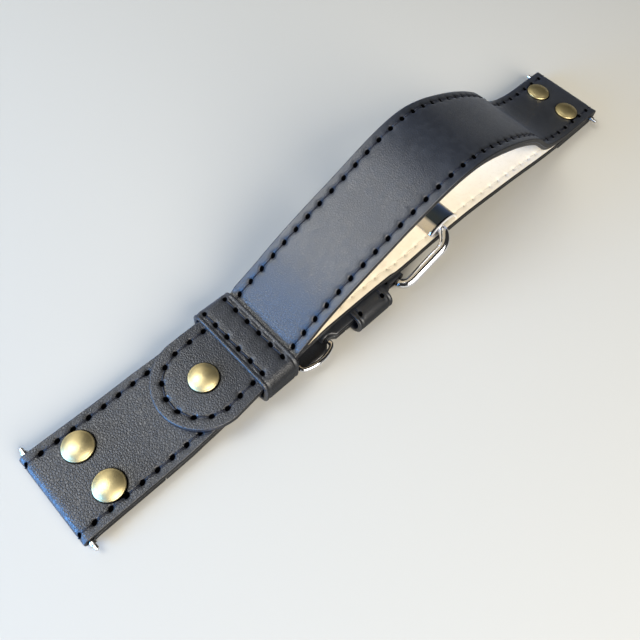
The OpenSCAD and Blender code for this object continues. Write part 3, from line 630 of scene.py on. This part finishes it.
def makeLeather(name, look):
    f = Finish(name, Specular_IOR_Level=look["shine"], Sheen_Weight=0.08, Sheen_Roughness=0.45,
               Sheen_Tint=(0.55, 0.68, 1.0, 1))
    rim, needle, shadedSide = f.attribute("rim"), f.attribute("needle"), f.attribute("shadedSide")
    broad, mid, fine = f.noise(9, 2), f.noise(1.6, 4, 0.6), f.noise(0.16, 2, 0.6)
    pebbles = softRange(f.cells(look["grain"]), 0.0, 0.28)
    along, across = f.axes()
    grained = 1 - softRange(along, look["smoothFrom"], look["smoothTo"]) * 0.65  # the arch is smoother
    colour = f.blend(softRange(broad, 0.35, 0.7), tuple(c * 0.82 for c in look["colour"]),
                     tuple(c * 1.2 for c in look["colour"]))
    colour = f.blend(softRange(mid, 0.45, 0.8) * 0.35, colour, look["worn"])
    colour = f.blend((1 - pebbles) * grained * 0.6, colour, look["dark"])
    edgePaint = softRange(rim, 0.72, 0.9)
    colour = f.blend(softRange(rim, 0.3, 0.6) * (1 - edgePaint) * 0.3, colour, look["worn"])
    colour = f.blend(edgePaint * 0.8, colour, look["dark"])
    away = None  # painted shadow: a dark contact ring round each rivet cap, shifted to the lower right
    for x, y in [(tabX, tabY)] + [(x, side * rivetY) for x in (rivetX, lugRivetX) for side in (-1, 1)]:
        x, y = (x + look["capShadowShift"]) * mm, (y - look["capShadowShift"]) * mm
        one = ((along - x) ** 2 + (across - y) ** 2) ** 0.5
        away = lowest(away, one) if away else one
    line = softRange(away, *look["capShadowFrom"]) * (1 - softRange(away, *look["capShadowTo"]))
    # painted shade: matt black over the needle holes, the painted contact shadows round the caps, and the sides turned
    # away from the window lamps
    f.hollow((softRange(needle, 0.2, 0.4) + line + shadedSide * look["shadedSideShare"]).clamped(), (0.0008, 0.0008, 0.001))
    f.feed(f.shader, "Base Color", colour)
    f.feed(f.shader, "Roughness", look["roughness"] + (mid - 0.5) * 0.22 - pebbles * 0.05 - edgePaint * 0.1)
    rough = f.bump(fine, 0.012, 0.6)
    creases = f.bump(mid, 0.05, 0.5, rough)
    f.feed(f.shader, "Normal", f.bump(pebbles * grained, look["grainDepth"], 0.8, creases))
    return f.material


# the cool colour and its span paint blue sky light onto the arch's lining
creamSkin = dict(colour=(0.94, 0.86, 0.7), shade=(0.9, 0.8, 0.63), mark=(0.6, 0.5, 0.35),
                 edge=(0.006, 0.006, 0.008), hole=(0.3, 0.25, 0.18), paintedSkyLight=(0.6, 0.66, 0.82), paintedSkyLightSpan=(0.016, 0.03))


def makeLining(name, look, border, withSkyLight=False):
    f = Finish(name, Specular_IOR_Level=0.3)
    rim, needle = f.attribute("rim"), f.attribute("needle")
    broad, mid, fine = f.noise(7, 3), f.noise(0.9, 4, 0.6), f.noise(0.12, 2)
    colour = f.blend(softRange(broad, 0.3, 0.7), look["colour"], look["shade"])
    if withSkyLight:  # painted blue sky light on the underside of the arch's far slope
        colour = f.blend(softRange(f.axes()[0], *look["paintedSkyLightSpan"]), colour, look["paintedSkyLight"])
    edgePaint = softRange(rim, border, border + 0.07)
    colour = f.blend(softRange(mid, 0.5, 0.85) * 0.25, colour, look["mark"])
    colour = f.blend(softRange(rim, 0.3, 0.8) * 0.2, colour, look["mark"])
    # painted shade darkens the needle holes in the lining
    colour = f.blend(softRange(needle, 0.6, 0.95) * 0.6, colour, look["hole"])
    colour = f.blend(edgePaint, colour, look["edge"])
    f.feed(f.shader, "Base Color", colour)
    f.feed(f.shader, "Roughness", 0.62 + (mid - 0.5) * 0.2 - edgePaint * 0.2)
    f.feed(f.shader, "Normal", f.bump(mid, 0.04, 0.5, f.bump(fine, 0.012, 0.5)))
    return f.material


def makeThreadFinish(name, colour, glint):
    f = Finish(name, Specular_IOR_Level=0.4)
    strands = f.noise(0.11, 2, 0.5)
    f.feed(f.shader, "Base Color", f.blend(softRange(strands, 0.4, 0.7), colour, glint))
    f.feed(f.shader, "Roughness", 0.42 + strands * 0.2)
    f.feed(f.shader, "Normal", f.bump(strands, 0.05, 0.7))
    return f.material


def makeMetal(name, colour, tarnish, roughness, spots=0.0):
    f = Finish(name, Metallic=1.0)
    broad, fine = f.noise(2.2, 4, 0.6), f.noise(0.25, 3, 0.6)
    mask = softRange(broad, 0.42, 0.75) * spots
    f.feed(f.shader, "Base Color", f.blend(mask, colour, tarnish))
    f.feed(f.shader, "Roughness", roughness + (fine - 0.5) * 0.08 + mask * 0.18)
    f.feed(f.shader, "Normal", f.bump(fine, 0.006, 0.35))
    return f.material


# colours and places of the front bar's painted reflections and highlights
frontLook = dict(paintedHighlight=(0.8, 0.79, 0.78), strip=(0.85, 0.82, 0.78), dark=(0.05, 0.065, 0.085), reflectionStripEnd=0.0116,
                 lip=0.0186, side=0.0083, soft=0.0003, roughness=0.14)


def makeFrontSteel(look):  # the arched bar's colour is painted light: a dark painted reflection on top, a pale painted reflection in a strip along its low-x edge, and pale, partly matt painted highlights on its high-x lip and at both ends
    f = Finish("frontSteel", Roughness=look["roughness"])
    along, across = f.axes()
    reflectionStripEnd, soft = look["reflectionStripEnd"], look["soft"]
    colour = f.blend(softRange(along, reflectionStripEnd - soft, reflectionStripEnd + soft), look["strip"], look["dark"])
    colour = f.blend(softRange(along, look["lip"], look["lip"] + 0.0002), colour, look["paintedHighlight"])
    edge = softRange(across.joined("ABSOLUTE", across), look["side"], look["side"] + 0.0002)
    f.feed(f.shader, "Base Color", f.blend(edge, colour, look["paintedHighlight"]))
    f.feed(f.shader, "Metallic", 1 - edge * 0.7)
    f.feed(f.shader, "Normal", f.bump(f.noise(0.25, 3, 0.6), 0.005, 0.3))
    return f.material


black = makeLeather("blackLeather", blackSkin)
archCream = makeLining("archLining", creamSkin, 0.66, True)
creamFace = makeLining("creamFace", creamSkin, 0.5)
navyThread = makeThreadFinish("navyThread", (0.003, 0.004, 0.009), (0.012, 0.016, 0.03))
paleThread = makeThreadFinish("paleThread", (0.8, 0.72, 0.57), (0.7, 0.62, 0.47))
brass = makeMetal("agedBrass", (0.74, 0.62, 0.33), (0.52, 0.41, 0.19), 0.4, 0.5)
steel = makeMetal("polishedSteel", (0.78, 0.78, 0.8), (0.6, 0.6, 0.6), 0.1)
barSteel = makeMetal("barSteel", (0.62, 0.61, 0.6), (0.45, 0.44, 0.42), 0.28, 0.3)
frontSteel = makeFrontSteel(frontLook)
print("scene: finishes made")


def shortHalf(x):
    return lookup(x, [(tabEnd, halfWidth), (wideLow.x, 9.4), (wideHigh.x, 9.4), (wideHigh.x + 0.5, 9.7)])


shortLook = dict(pitch=3.3, inset=1.8, first=2.2, folded=6, last=27, turned=5, rounding=0.28, pared=0.62, lugEase=0.8,
                 ringEase=0.6)


def makeShortStrap():
    ply, pitch, turned = leather["ply"], shortLook["pitch"], shortLook["turned"]
    run = Run(raised(shortUnder, lugA + turnBack, noseA, 0) + fold(noseA, ply, ply, 270, 90)
              + raised(shortUnder, noseA, ringLeft, shortThick) + fold(ringLeft, ringZ, ply, 90, -90)
              + raised(shortUnder, ringLeft, ringLeft - turned, 0))
    strip = Strip(run, 0, run.total, shortHalf)
    firstTop = lugA + turnBack - noseA + math.pi * ply
    firstHole = firstTop + shortLook["first"] - shortLook["folded"] * pitch
    holes = strip.holes(firstHole, firstTop + shortLook["last"], pitch)
    rows = strip.seams(holes, shortLook["inset"])
    bm = strip.sheet(holes)
    thicken(bm, -ply, 0, shortLook["rounding"])
    cutRecesses(bm, [(lugA + turnBack - rivetX, side * rivetY) for side in (-1, 1)], -recess["depth"], 1)
    markSeams(bm, strip, rows, 0, 1)
    lugEase, ringEase = shortLook["lugEase"], shortLook["ringEase"]
    thinAtFolds(bm, [(firstTop - math.pi * ply - lugEase, firstTop + lugEase),
                     (run.total - turned - ringEase - math.pi * ply, run.total - turned + ringEase)],
                shortLook["pared"])
    bend(bm, run)
    asLeather(bm, "shortStrapSkin", "short_strap_leather")
    sew("shortStrapThread", run, makeThread(rows, 0, 1), "short_strap_thread")
    # the filler between the turned-back ends
    under = Run(raised(shortUnder, lugA + turnBack + 0.05, ringLeft - shortLook["turned"] - 0.05, 0))
    makePlain("shortStrapFiller", under, shortHalf, ply - leather["gap"], "short_strap_lining", [(tabX, tabY)])


def thinAtFolds(bm, stretches, thickness):  # the leather is pared where it turns round a bar
    for v in bm.verts:
        for start, end in stretches:
            if start - 1 < v.co.x < end + 1:
                share = min(1, (v.co.x - start + 1), (end + 1 - v.co.x))
                v.co.z = between(v.co.z, max(v.co.z, v.co.z * thickness / leather["ply"]), share)


makeShortStrap()
print("scene: short strap made")


# long upper strap, its lining and its seam
def upperHalf(x):
    return lookup(x, [(tabX, tabRadius), (wideLow.x, 9.85), (wideHigh.x, 9.75), (wideHigh.x + 1.5, 9.85),
                      (rise(0.17), 9.6), (rise(0.63), 9.6), (peakX, halfWidth)])


def upperMiddle(x):
    return lookup(x, [(tabX, tabY), (wideLow.x, tabY / 2), (wideHigh.x, tabY / 4), (wideHigh.x + 1.5, 0)])


upperLook = dict(first=3.05, last=1.5, bowFirst=2.5, bowStep=24.7, bowStitches=8, lift=0.06, hidden=12)


def makeUpperStrap():
    nose = lugBTop / 2
    run = Run(raised(upperUnder, tabEnd, noseB, longThick) + fold(noseB, nose, nose, 90, -90)
              + [(between(noseB, lugB - turnBack, i / 30), 0) for i in range(31)])
    cut = Tongued(run, 0, run.total, upperHalf, upperMiddle, tabRadius)
    turns = [math.radians(upperLook["bowFirst"] + upperLook["bowStep"] * i) for i in range(upperLook["bowStitches"])]
    holes = cut.holes(cut.centre + upperLook["first"], run.total - upperLook["last"])
    rows = cut.seams(holes, turns)
    bm = cut.sheet(holes, turns)
    thicken(bm, -leather["outer"], 0, 0.26)
    cutRecesses(bm, [(run.total + lugB - turnBack + rivetX, side * rivetY) for side in (-1, 1)], -recess["depth"], 1)
    markSeams(bm, cut, rows, 0, 1)
    bend(bm, run)
    asLeather(bm, "upperStrapSkin", "upper_strap_leather")
    sew("upperStrapThread", run, makeThread(rows, 0, 1), "upper_strap_thread")
    under = Run(raised(upperUnder, tabEnd, liningEnd, 0))
    cut = Tongued(under, 0, under.total, upperHalf, upperMiddle, tabRadius, upperLook["lift"])
    holes = cut.holes(cut.centre + upperLook["first"], under.total - upperLook["last"])
    rows = cut.seams(holes, turns)
    bm = cut.sheet(holes, turns)
    thicken(bm, leather["gap"], leather["lining"], 0.12, 2)
    markSeams(bm, cut, rows, leather["gap"], -1, 0.5)
    bend(bm, under)
    asPiece(bm, "upperStrapLining", "strap", archCream, ["upper_strap_lining"])
    hidden = upperLook["hidden"]  # stitches at each end that other leather covers
    thread = makeThread([row[hidden:-hidden] for row in rows], leather["gap"] + upperLook["lift"], -1, 0.16)
    sew("upperLiningThread", under, thread)


makeUpperStrap()
print("scene: upper strap made")


# adjustable lower strap, cream side up
adjusting = dict(places=(-22, -15, -8, -1, 6, 13), length=4.2, width=2.2)  # places as x


def lowerHalf(x):
    return lookup(x, [(frontEnd + 3, 9.5), (lugB - turnBack - 1, halfWidth)])


def tailThickness(x):
    return lookup(x, [(wideHigh.x + 1, leather["tail"]), (ringRight, longThick)]) / longThick


def makeLowerStrap():
    run = Run(raised(lowerUnder, tailX, liningEnd, 0))
    cut = Strip(run, 0, run.total, lowerHalf)
    holes = cut.holes(run.reach(ringRight + 2), run.total - 1.5)
    rows = cut.seams(holes)
    length, width = adjusting["length"], adjusting["width"]
    cut.slots = [(run.reach(x), length, width) for x in adjusting["places"]]
    for name, low, high, face, side, finish, slot, node in (
            ("lowerStrapSkin", 0, leather["outer"], 0, -1, black, "black_leather", "lower_strap_leather"),
            ("lowerStrapLining", leather["outer"], longThick, longThick, 1, creamFace, "cream_lining",
             "lower_strap_lining")):
        bm = cut.sheet(holes)
        thicken(bm, low + (0.01 if side > 0 else 0), high, 0.15, 2)
        cutWith(bm, slotTool([(slot[0], 0) for slot in cut.slots], length, width, low - 1, high + 1))
        markSeams(bm, cut, rows, face, side, 0.5)
        skive(bm, run)
        bend(bm, run)
        asPiece(bm, name, "strap", finish, [node])
    sew("lowerStrapThread", run, makeThread(rows, 0.04, -1, 0.2), "lower_strap_thread", True)
    sew("lowerLiningThread", run, makeThread(rows, longThick - 0.1, 1, 0.12), None, True)


def skive(bm, run):
    for v in bm.verts:
        v.co.z *= tailThickness(run.at(v.co.x)[0].x)


makeLowerStrap()
print("scene: lower strap made")


# keepers: a strip bent round in a loop
def loopRun(half, top, corner):
    turns = [(-half + corner, corner, 270, 180), (-half + corner, top - corner, 180, 90),
             (half - corner, top - corner, 90, 0), (half - corner, corner, 0, -90)]
    points = [(0, 0)]
    for y, z, start, end in turns:
        ends = [math.radians(start), math.radians(end)]
        target = (y + corner * math.cos(ends[0]), z + corner * math.sin(ends[0]))
        last = points[-1]
        count = max(1, int(math.dist(last, target) / 0.4))
        points += [(between(last[0], target[0], i / count), between(last[1], target[1], i / count))
                   for i in range(1, count + 1)]
        points += fold(y, z, corner, start, end, 10)
        points.append((y + corner * math.cos(ends[1]), z + corner * math.sin(ends[1])))
    last = points[-1]
    count = int(math.dist(last, (0, 0)) / 0.4)
    points += [(between(last[0], 0, i / count), 0) for i in range(1, count + 1)]
    return Run(points)


keeperLook = dict(rowInset=1.7, pitch=3.45, shift=-0.95, creaseAt=0.85, creaseDepth=0.14, creaseWidth=0.2, endIn=1.2,
                  rounding=0.25)
keeperRows = [0, 0.4, 0.55, 0.75, 0.95, 1.15, 1.35, 1.52, 1.7, 1.88, 2.05, 2.3, 3.0]


def makeKeeper(name, low, high, half, corner, body, nodes, stitched):
    run = loopRun(half + leather["keeper"], high.z, corner)
    middle = (low.y + high.y) / 2
    length = high.x - low.x
    strip = Strip(run, 0, run.total, lambda x: length / 2)
    top = run.total / 2
    if stitched == "across":
        holes = [top + keeperLook["shift"] + i * keeperLook["pitch"] for i in range(-2, 4)]
    else:
        holes = [top + side * (half - keeperLook["endIn"] - i * seam["pitch"]) for side in (-1, 1) for i in (0, 1, 2)]
        holes.sort()
    rows = strip.seams(holes, keeperLook["rowInset"])
    bm = strip.sheet(holes, keeperRows)
    thicken(bm, -leather["keeper"], 0, 0)
    ends = [f for f in bm.faces if abs(f.normal.x) > 0.9]
    bmesh.ops.delete(bm, geom=ends, context="FACES_ONLY")
    rounded(bm, [e for e in sharpEdges(bm) if len(e.link_faces) == 2], keeperLook["rounding"], 3)
    markSeams(bm, strip, rows, 0, 1)
    for v in bm.verts:  # the creased line beside each edge
        inward = length / 2 - abs(v.co.y)
        if v.co.z > -0.5:
            v.co.z -= keeperLook["creaseDepth"] * math.exp(
                -((inward - keeperLook["creaseAt"]) / keeperLook["creaseWidth"]) ** 2)
    x0 = (low.x + high.x) / 2
    for v in bm.verts:
        v.co.y += x0
    bend(bm, run, True, middle)
    mend(bm, 0.01 * mm)
    asLeather(bm, name + "Loop", nodes[0], body)
    if stitched != "across":
        middleHole = len(holes) // 2
        rows = [row[a:b] for row in rows for a, b in ((0, middleHole), (middleHole, None))]
    thread = makeThread(rows, 0, 1)
    for v in thread.verts:
        v.co.y += x0
    bend(thread, run, True, middle)
    asPiece(thread, name + "Thread", body, navyThread, [nodes[1]])


makeKeeper("wideKeeper", wideLow, wideHigh, half=10.1, corner=2.3, body="strap",
           nodes=("wide_keeper", "wide_keeper_thread"), stitched="across")
makeKeeper("smallKeeper", smallLow, smallHigh, half=12.2, corner=2.275, body="small_keeper",
           nodes=("small_keeper", "small_keeper_thread"), stitched="ends")
print("scene: keepers made")


# buckle band
band = dict(turned=5.0, seamIn=3.2, stitches=6, rounding=0.28, pared=0.52, ringEase=0.6, buckleEase=1.6)
notch = dict(start=-4.0, half=1.3)


def bandHalf(x):
    return lookup(x, [(ringRight + 1, 9.7), (ringRight + 1.8, 10.8), (smallHigh.x + 1.2, 10.8),
                      (pivotX - 3, halfWidth)])


def makeBand():
    ply, turned = leather["ply"], band["turned"]
    line = [(ringRight, lift, 0), (bandNose, lift, 0)]
    run = Run(raised(line, ringRight + turned, ringRight, 0) + fold(ringRight, ringZ, ply, 270, 90)
              + raised(line, ringRight, bandNose, shortThick) + fold(bandNose, ringZ, ply, 90, -90)
              + raised(line, bandNose, pivotX - turned, 0))
    strip = Strip(run, 0, run.total, bandHalf)
    firstTop = turned + math.pi * ply
    seamAt = firstTop + (pivotX - band["seamIn"] - ringRight)
    bm = strip.sheet([seamAt])
    thicken(bm, -ply, 0, band["rounding"])
    cutWith(bm, boxTool(firstTop + notch["start"] - ringRight, run.total + pivotX - turned - notch["start"],
                        notch["half"], -ply - 1, 1))
    row = [Vector((seamAt, (i - (band["stitches"] - 1) / 2) * seam["pitch"], 0)) for i in range(band["stitches"])]
    markSeams(bm, strip, [row], 0, 1)
    rightFold = run.total - (bandNose - pivotX + turned)
    thinAtFolds(bm, [(turned - band["ringEase"], firstTop + band["ringEase"]),
                     (rightFold - math.pi * ply - band["buckleEase"], rightFold + band["buckleEase"])], band["pared"])
    bend(bm, run)
    asLeather(bm, "buckleBandSkin", "buckle_band_leather")
    sew("buckleBandThread", run, makeThread([row], 0, 1), "buckle_band_thread")
    under = Run(raised(line, ringRight + turned + 0.05, pivotX - turned - 0.05, 0))
    makePlain("buckleBandFiller", under, bandHalf, ply - leather["gap"], "buckle_band_lining")


makeBand()
print("scene: buckle band made")


# wire ring with bowed short sides, and the leather guard under it
ringLook = dict(bend=1.1, bow=23, sides=20, bendSteps=10, bowSteps=16, pared=1.6)


def pulled(bm, edges, way):  # draws the open end of a tube straight on
    grown = bmesh.ops.extrude_edge_only(bm, edges=edges)["geom"]
    last = only(BMVert, grown)
    bmesh.ops.translate(bm, verts=last, vec=way)
    return last + only(BMEdge, grown)


def turnedOn(bm, last, centre, angle, steps):
    return bmesh.ops.spin(bm, geom=last, cent=(*centre, 0), axis=(0, 0, 1), angle=angle, steps=steps)["geom_last"]


def wireStart(x, y, thickness, sides):  # a circle that faces along y
    bm = bmesh.new()
    facing = Matrix.Translation((x, y, 0)) @ Matrix.Rotation(math.pi / 2, 4, "X")
    bmesh.ops.create_circle(bm, segments=sides, radius=thickness / 2, matrix=facing)
    return bm


def makeRing():
    pitch, bow, radius = (ringRight - ringLeft) / 2, math.radians(ringLook["bow"]), ringLook["bend"]
    bowRadius = radius + (pitch - radius) / math.sin(bow)
    bowIn = (bowRadius - radius) * math.cos(bow)
    reach = (ringHigh.y - ringLow.y - wire) / 2 - bowRadius + bowIn
    bm = wireStart(pitch, -reach, wire, ringLook["sides"])
    edges = bm.edges[:]
    for side in (1, -1):
        last = pulled(bm, edges, (0, side * 2 * reach, 0))
        for x, y, turn, steps in ((pitch - radius, reach, math.pi / 2 - bow, ringLook["bendSteps"]),
                                  (0, reach - bowIn, 2 * bow, ringLook["bowSteps"]),
                                  (radius - pitch, reach, math.pi / 2 - bow, ringLook["bendSteps"])):
            last = turnedOn(bm, last, (side * x, side * y), turn, steps)
        edges = only(BMEdge, last)
    mend(bm, 0.001)
    middle = ((ringLeft + ringRight) / 2, (ringLow.y + ringHigh.y) / 2, ringZ)
    move(bm, middle)
    asPiece(bm, "linkRing", "link_ring", steel, ["link_ring"], mm)


def makeGuard():
    low, high = span("ring_guard")
    pared = ringLook["pared"]
    run = Run([(low.x, low.z), (high.x, low.z)])
    makePlain("ringGuard", run, lambda x: high.y - max(0, pared - x + low.x, pared - high.x + x), high.z - low.z,
              "ring_guard")


makeRing()
makeGuard()
print("scene: ring made")

# rivet caps
rivet = dict(diameter=6.0, rim=0.35, dome=0.9, lip=0.22, steps=64)


def spinCap(bm):
    r, rim, dome = rivet["diameter"] / 2, rivet["rim"], rivet["dome"]
    ball = (r * r + dome * dome) / (2 * dome)
    profile = [(0, rim + dome)]
    for i in range(1, 15):
        x = r * i / 15
        profile.append((x, rim + dome - ball + math.sqrt(ball * ball - x * x)))
    profile += [(r * 0.975, rim + 0.1), (r * 0.993, rim), (r, rim - 0.12), (r, 0.1), (r - 0.12, 0.0),
                (r - rivet["lip"], 0.0), (0, 0.0)]
    verts = [bm.verts.new((x, 0, z)) for x, z in profile]
    edges = [bm.edges.new(pair) for pair in zip(verts, verts[1:])]
    bmesh.ops.spin(bm, geom=verts + edges, cent=(0, 0, 0), axis=(0, 0, 1), angle=2 * math.pi,
                   steps=rivet["steps"], use_merge=True)


def makeCaps(name, places, nodes):
    whole = bmesh.new()
    for place, tilt in places:
        bm = bmesh.new()
        spinCap(bm)
        mend(bm, 0.0005)
        bmesh.ops.rotate(bm, verts=bm.verts[:], matrix=Matrix.Rotation(tilt, 3, "Y"))
        move(bm, place)
        mesh = meshOf("oneCap", bm)
        whole.from_mesh(mesh)
        bpy.data.meshes.remove(mesh)
    asPiece(whole, name, "strap", brass, nodes, mm)


makeCaps("shortRivetCaps", [(Vector((rivetX, side * rivetY, shortThick)), 0) for side in (-1, 1)],
         ["short_strap_rivet_caps"])
makeCaps("lugRivetCaps", [(Vector((lugRivetX, side * rivetY, lugBTop)), 0) for side in (-1, 1)], ["lug_b_rivet_caps"])
tabZ, tabSlope = level(upperUnder, tabX)
makeCaps("tabRivetCap", [(Vector((tabX, tabY, tabZ + longThick + 0.02)), -math.atan(tabSlope))], ["tab_rivet_cap"])
print("scene: rivet caps made")

# buckle: two bent wire arms and an arched front bar
buckle = dict(tilt=23.5, wire=2.3, reach=11.4, bend=4.2, earIn=10.45, tight=1.373, sweep=3.0, lap=1.4, sides=24,
              width=9.3, rise=2.75, sheet=0.6, dip=1.2, dipFrom=10.2, dipOver=2.4, half=8.7, frontX=14.49, frontZ=6.95)


def makeArms():
    tight, sweep, earIn, reach, curve = (buckle[k] for k in ("tight", "sweep", "earIn", "reach", "bend"))
    c, eighth = math.sqrt(0.5), math.radians(45)
    bm = wireStart(0, earIn, buckle["wire"], buckle["sides"])
    last = turnedOn(bm, bm.verts[:] + bm.edges[:], (tight, earIn), -eighth, 8)
    x, y = tight - c * tight + c * sweep, earIn + c * tight - c * sweep
    last = turnedOn(bm, last, (x, y), -eighth, 8)
    half = y + sweep
    last = pulled(bm, only(BMEdge, last), (reach - x, 0, 0))
    last = turnedOn(bm, last, (reach, half - curve), -2 * eighth, 20)
    pulled(bm, only(BMEdge, last), (0, -buckle["lap"], 0))
    bmesh.ops.holes_fill(bm, edges=bm.edges[:], sides=0)
    bmesh.ops.mirror(bm, geom=bm.verts[:] + bm.edges[:] + bm.faces[:], axis="Y", merge_dist=0.0001)
    for v in bm.verts:  # the ends dip in under the arched bar
        share = max(0.0, min(1.0, (buckle["dipFrom"] - abs(v.co.y)) / buckle["dipOver"])) if v.co.x > reach else 0
        v.co.z -= buckle["dip"] * share * share * (3 - 2 * share)
    bmesh.ops.rotate(bm, verts=bm.verts[:], matrix=Matrix.Rotation(math.radians(-buckle["tilt"]), 3, "Y"))
    move(bm, (pivotX, 0, ringZ))
    mend(bm)
    asPiece(bm, "buckleArms", "buckle_frame", steel, ["buckle_frame"], mm)


def makeFront():
    width, riseBy, sheet = buckle["width"], buckle["rise"], buckle["sheet"]
    radius = ((width / 2) ** 2 + riseBy ** 2) / (2 * riseBy)
    middle = buckle["frontZ"] + riseBy - radius
    spread = math.asin(width / 2 / radius)
    columns = [between(-spread, spread, i / 40) for i in range(41)]
    rows = [between(-buckle["half"], buckle["half"], i / 12) for i in range(13)]
    bm = flatSheet(columns, rows, lambda a, y: Vector((a, y, 0)))
    thicken(bm, -sheet, 0, 0)
    rounded(bm, sharpEdges(bm), 0.02, 1)
    for v in bm.verts:
        far = radius + v.co.z
        v.co = Vector((buckle["frontX"] + far * math.sin(v.co.x), v.co.y, middle + far * math.cos(v.co.x)))
    mend(bm)
    asPiece(bm, "buckleFront", "buckle_frame", frontSteel, scale=mm)


makeArms()
makeFront()
print("scene: buckle made")

# CAD nodes that keep their shape
kept = {"buckle_tongue": steel, "short_strap_rivet_backs": brass, "tab_rivet_back": brass, "lug_b_rivet_backs": brass}
kept.update({node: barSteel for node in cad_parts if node.startswith(("bar_a", "bar_b", "buckle_bar"))})
for node, finish in kept.items():
    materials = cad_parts[node].data.materials
    materials.clear()
    materials.append(finish)

# floor, light and camera
stage = dict(size=1.6, drop=0.00002, floor=(0.52, 0.5, 0.445), room=0.03)
lamps = dict(
    key=dict(power=1.85, size=0.3, colour=(1, 0.98, 0.93), place=(-0.22, 0.22, 0.52)),
    far=dict(power=0.55, size=0.4, colour=(1, 0.95, 0.85), place=(0.05, 0.55, 0.35)),
    sky=dict(power=0.7, size=0.34, colour=(0.9, 0.98, 1), place=(-0.3, 0.32, 0.42)),
    lowSky=dict(power=3.6, size=0.25, colour=(0.16, 0.44, 1), place=(-0.55, 0.18, 0.15)),
    sill=dict(power=3.4, size=0.25, colour=(0.16, 0.44, 1), place=(-0.55, 0.05, 0.1)),
    near=dict(power=4.6, size=0.4, colour=(1, 0.95, 0.87), place=(-0.08, -0.44, 0.3)),
)


def makeStage():
    bm = bmesh.new()
    bmesh.ops.create_grid(bm, x_segments=1, y_segments=1, size=stage["size"] / 2)
    floor = linked("floor", meshOf("floor", bm))
    floor.location.z = -stage["drop"]
    f = Finish("floorPaint", Roughness=0.75, Specular_IOR_Level=0.2)
    f.feed(f.shader, "Base Color", (*stage["floor"], 1))
    floor.data.materials.append(f.material)
    world = bpy.data.worlds.new("softRoom")
    bpy.context.scene.world = world
    world.use_nodes = True
    background = world.node_tree.nodes["Background"].inputs
    background["Color"].default_value, background["Strength"].default_value = (1, 1, 1, 1), stage["room"]


def makeLamp(name, power, size, colour, place):
    light = bpy.data.lights.new(name, "AREA")
    light.shape, light.size, light.energy, light.color = "SQUARE", size, power, colour
    lamp = linked(name, light)
    lamp.location = place
    lamp.rotation_euler = (-Vector(place)).to_track_quat("-Z", "Y").to_euler()


makeStage()
for name, look in lamps.items():
    makeLamp(name + "Lamp", **look)

view = dict(lens=32.8, sensor=36, nearest=0.005, place=(-0.07105, -0.04060, 0.11028),
            right=(0.70997, -0.69746, 0.09740), up=(0.58116, 0.65839, 0.47828), back=(-0.39771, -0.28297, 0.87278))
camera = bpy.data.cameras.new("camera")
camera.lens, camera.sensor_width, camera.clip_start = view["lens"], view["sensor"], view["nearest"]
eye = linked("camera", camera)
turned = Matrix((view["right"], view["up"], view["back"])).transposed()
eye.matrix_world = Matrix.Translation(view["place"]) @ turned.to_4x4()
bpy.context.scene.camera = eye
bpy.context.scene.view_settings.view_transform = "Standard"
print("scene: stage, lamps and camera placed")
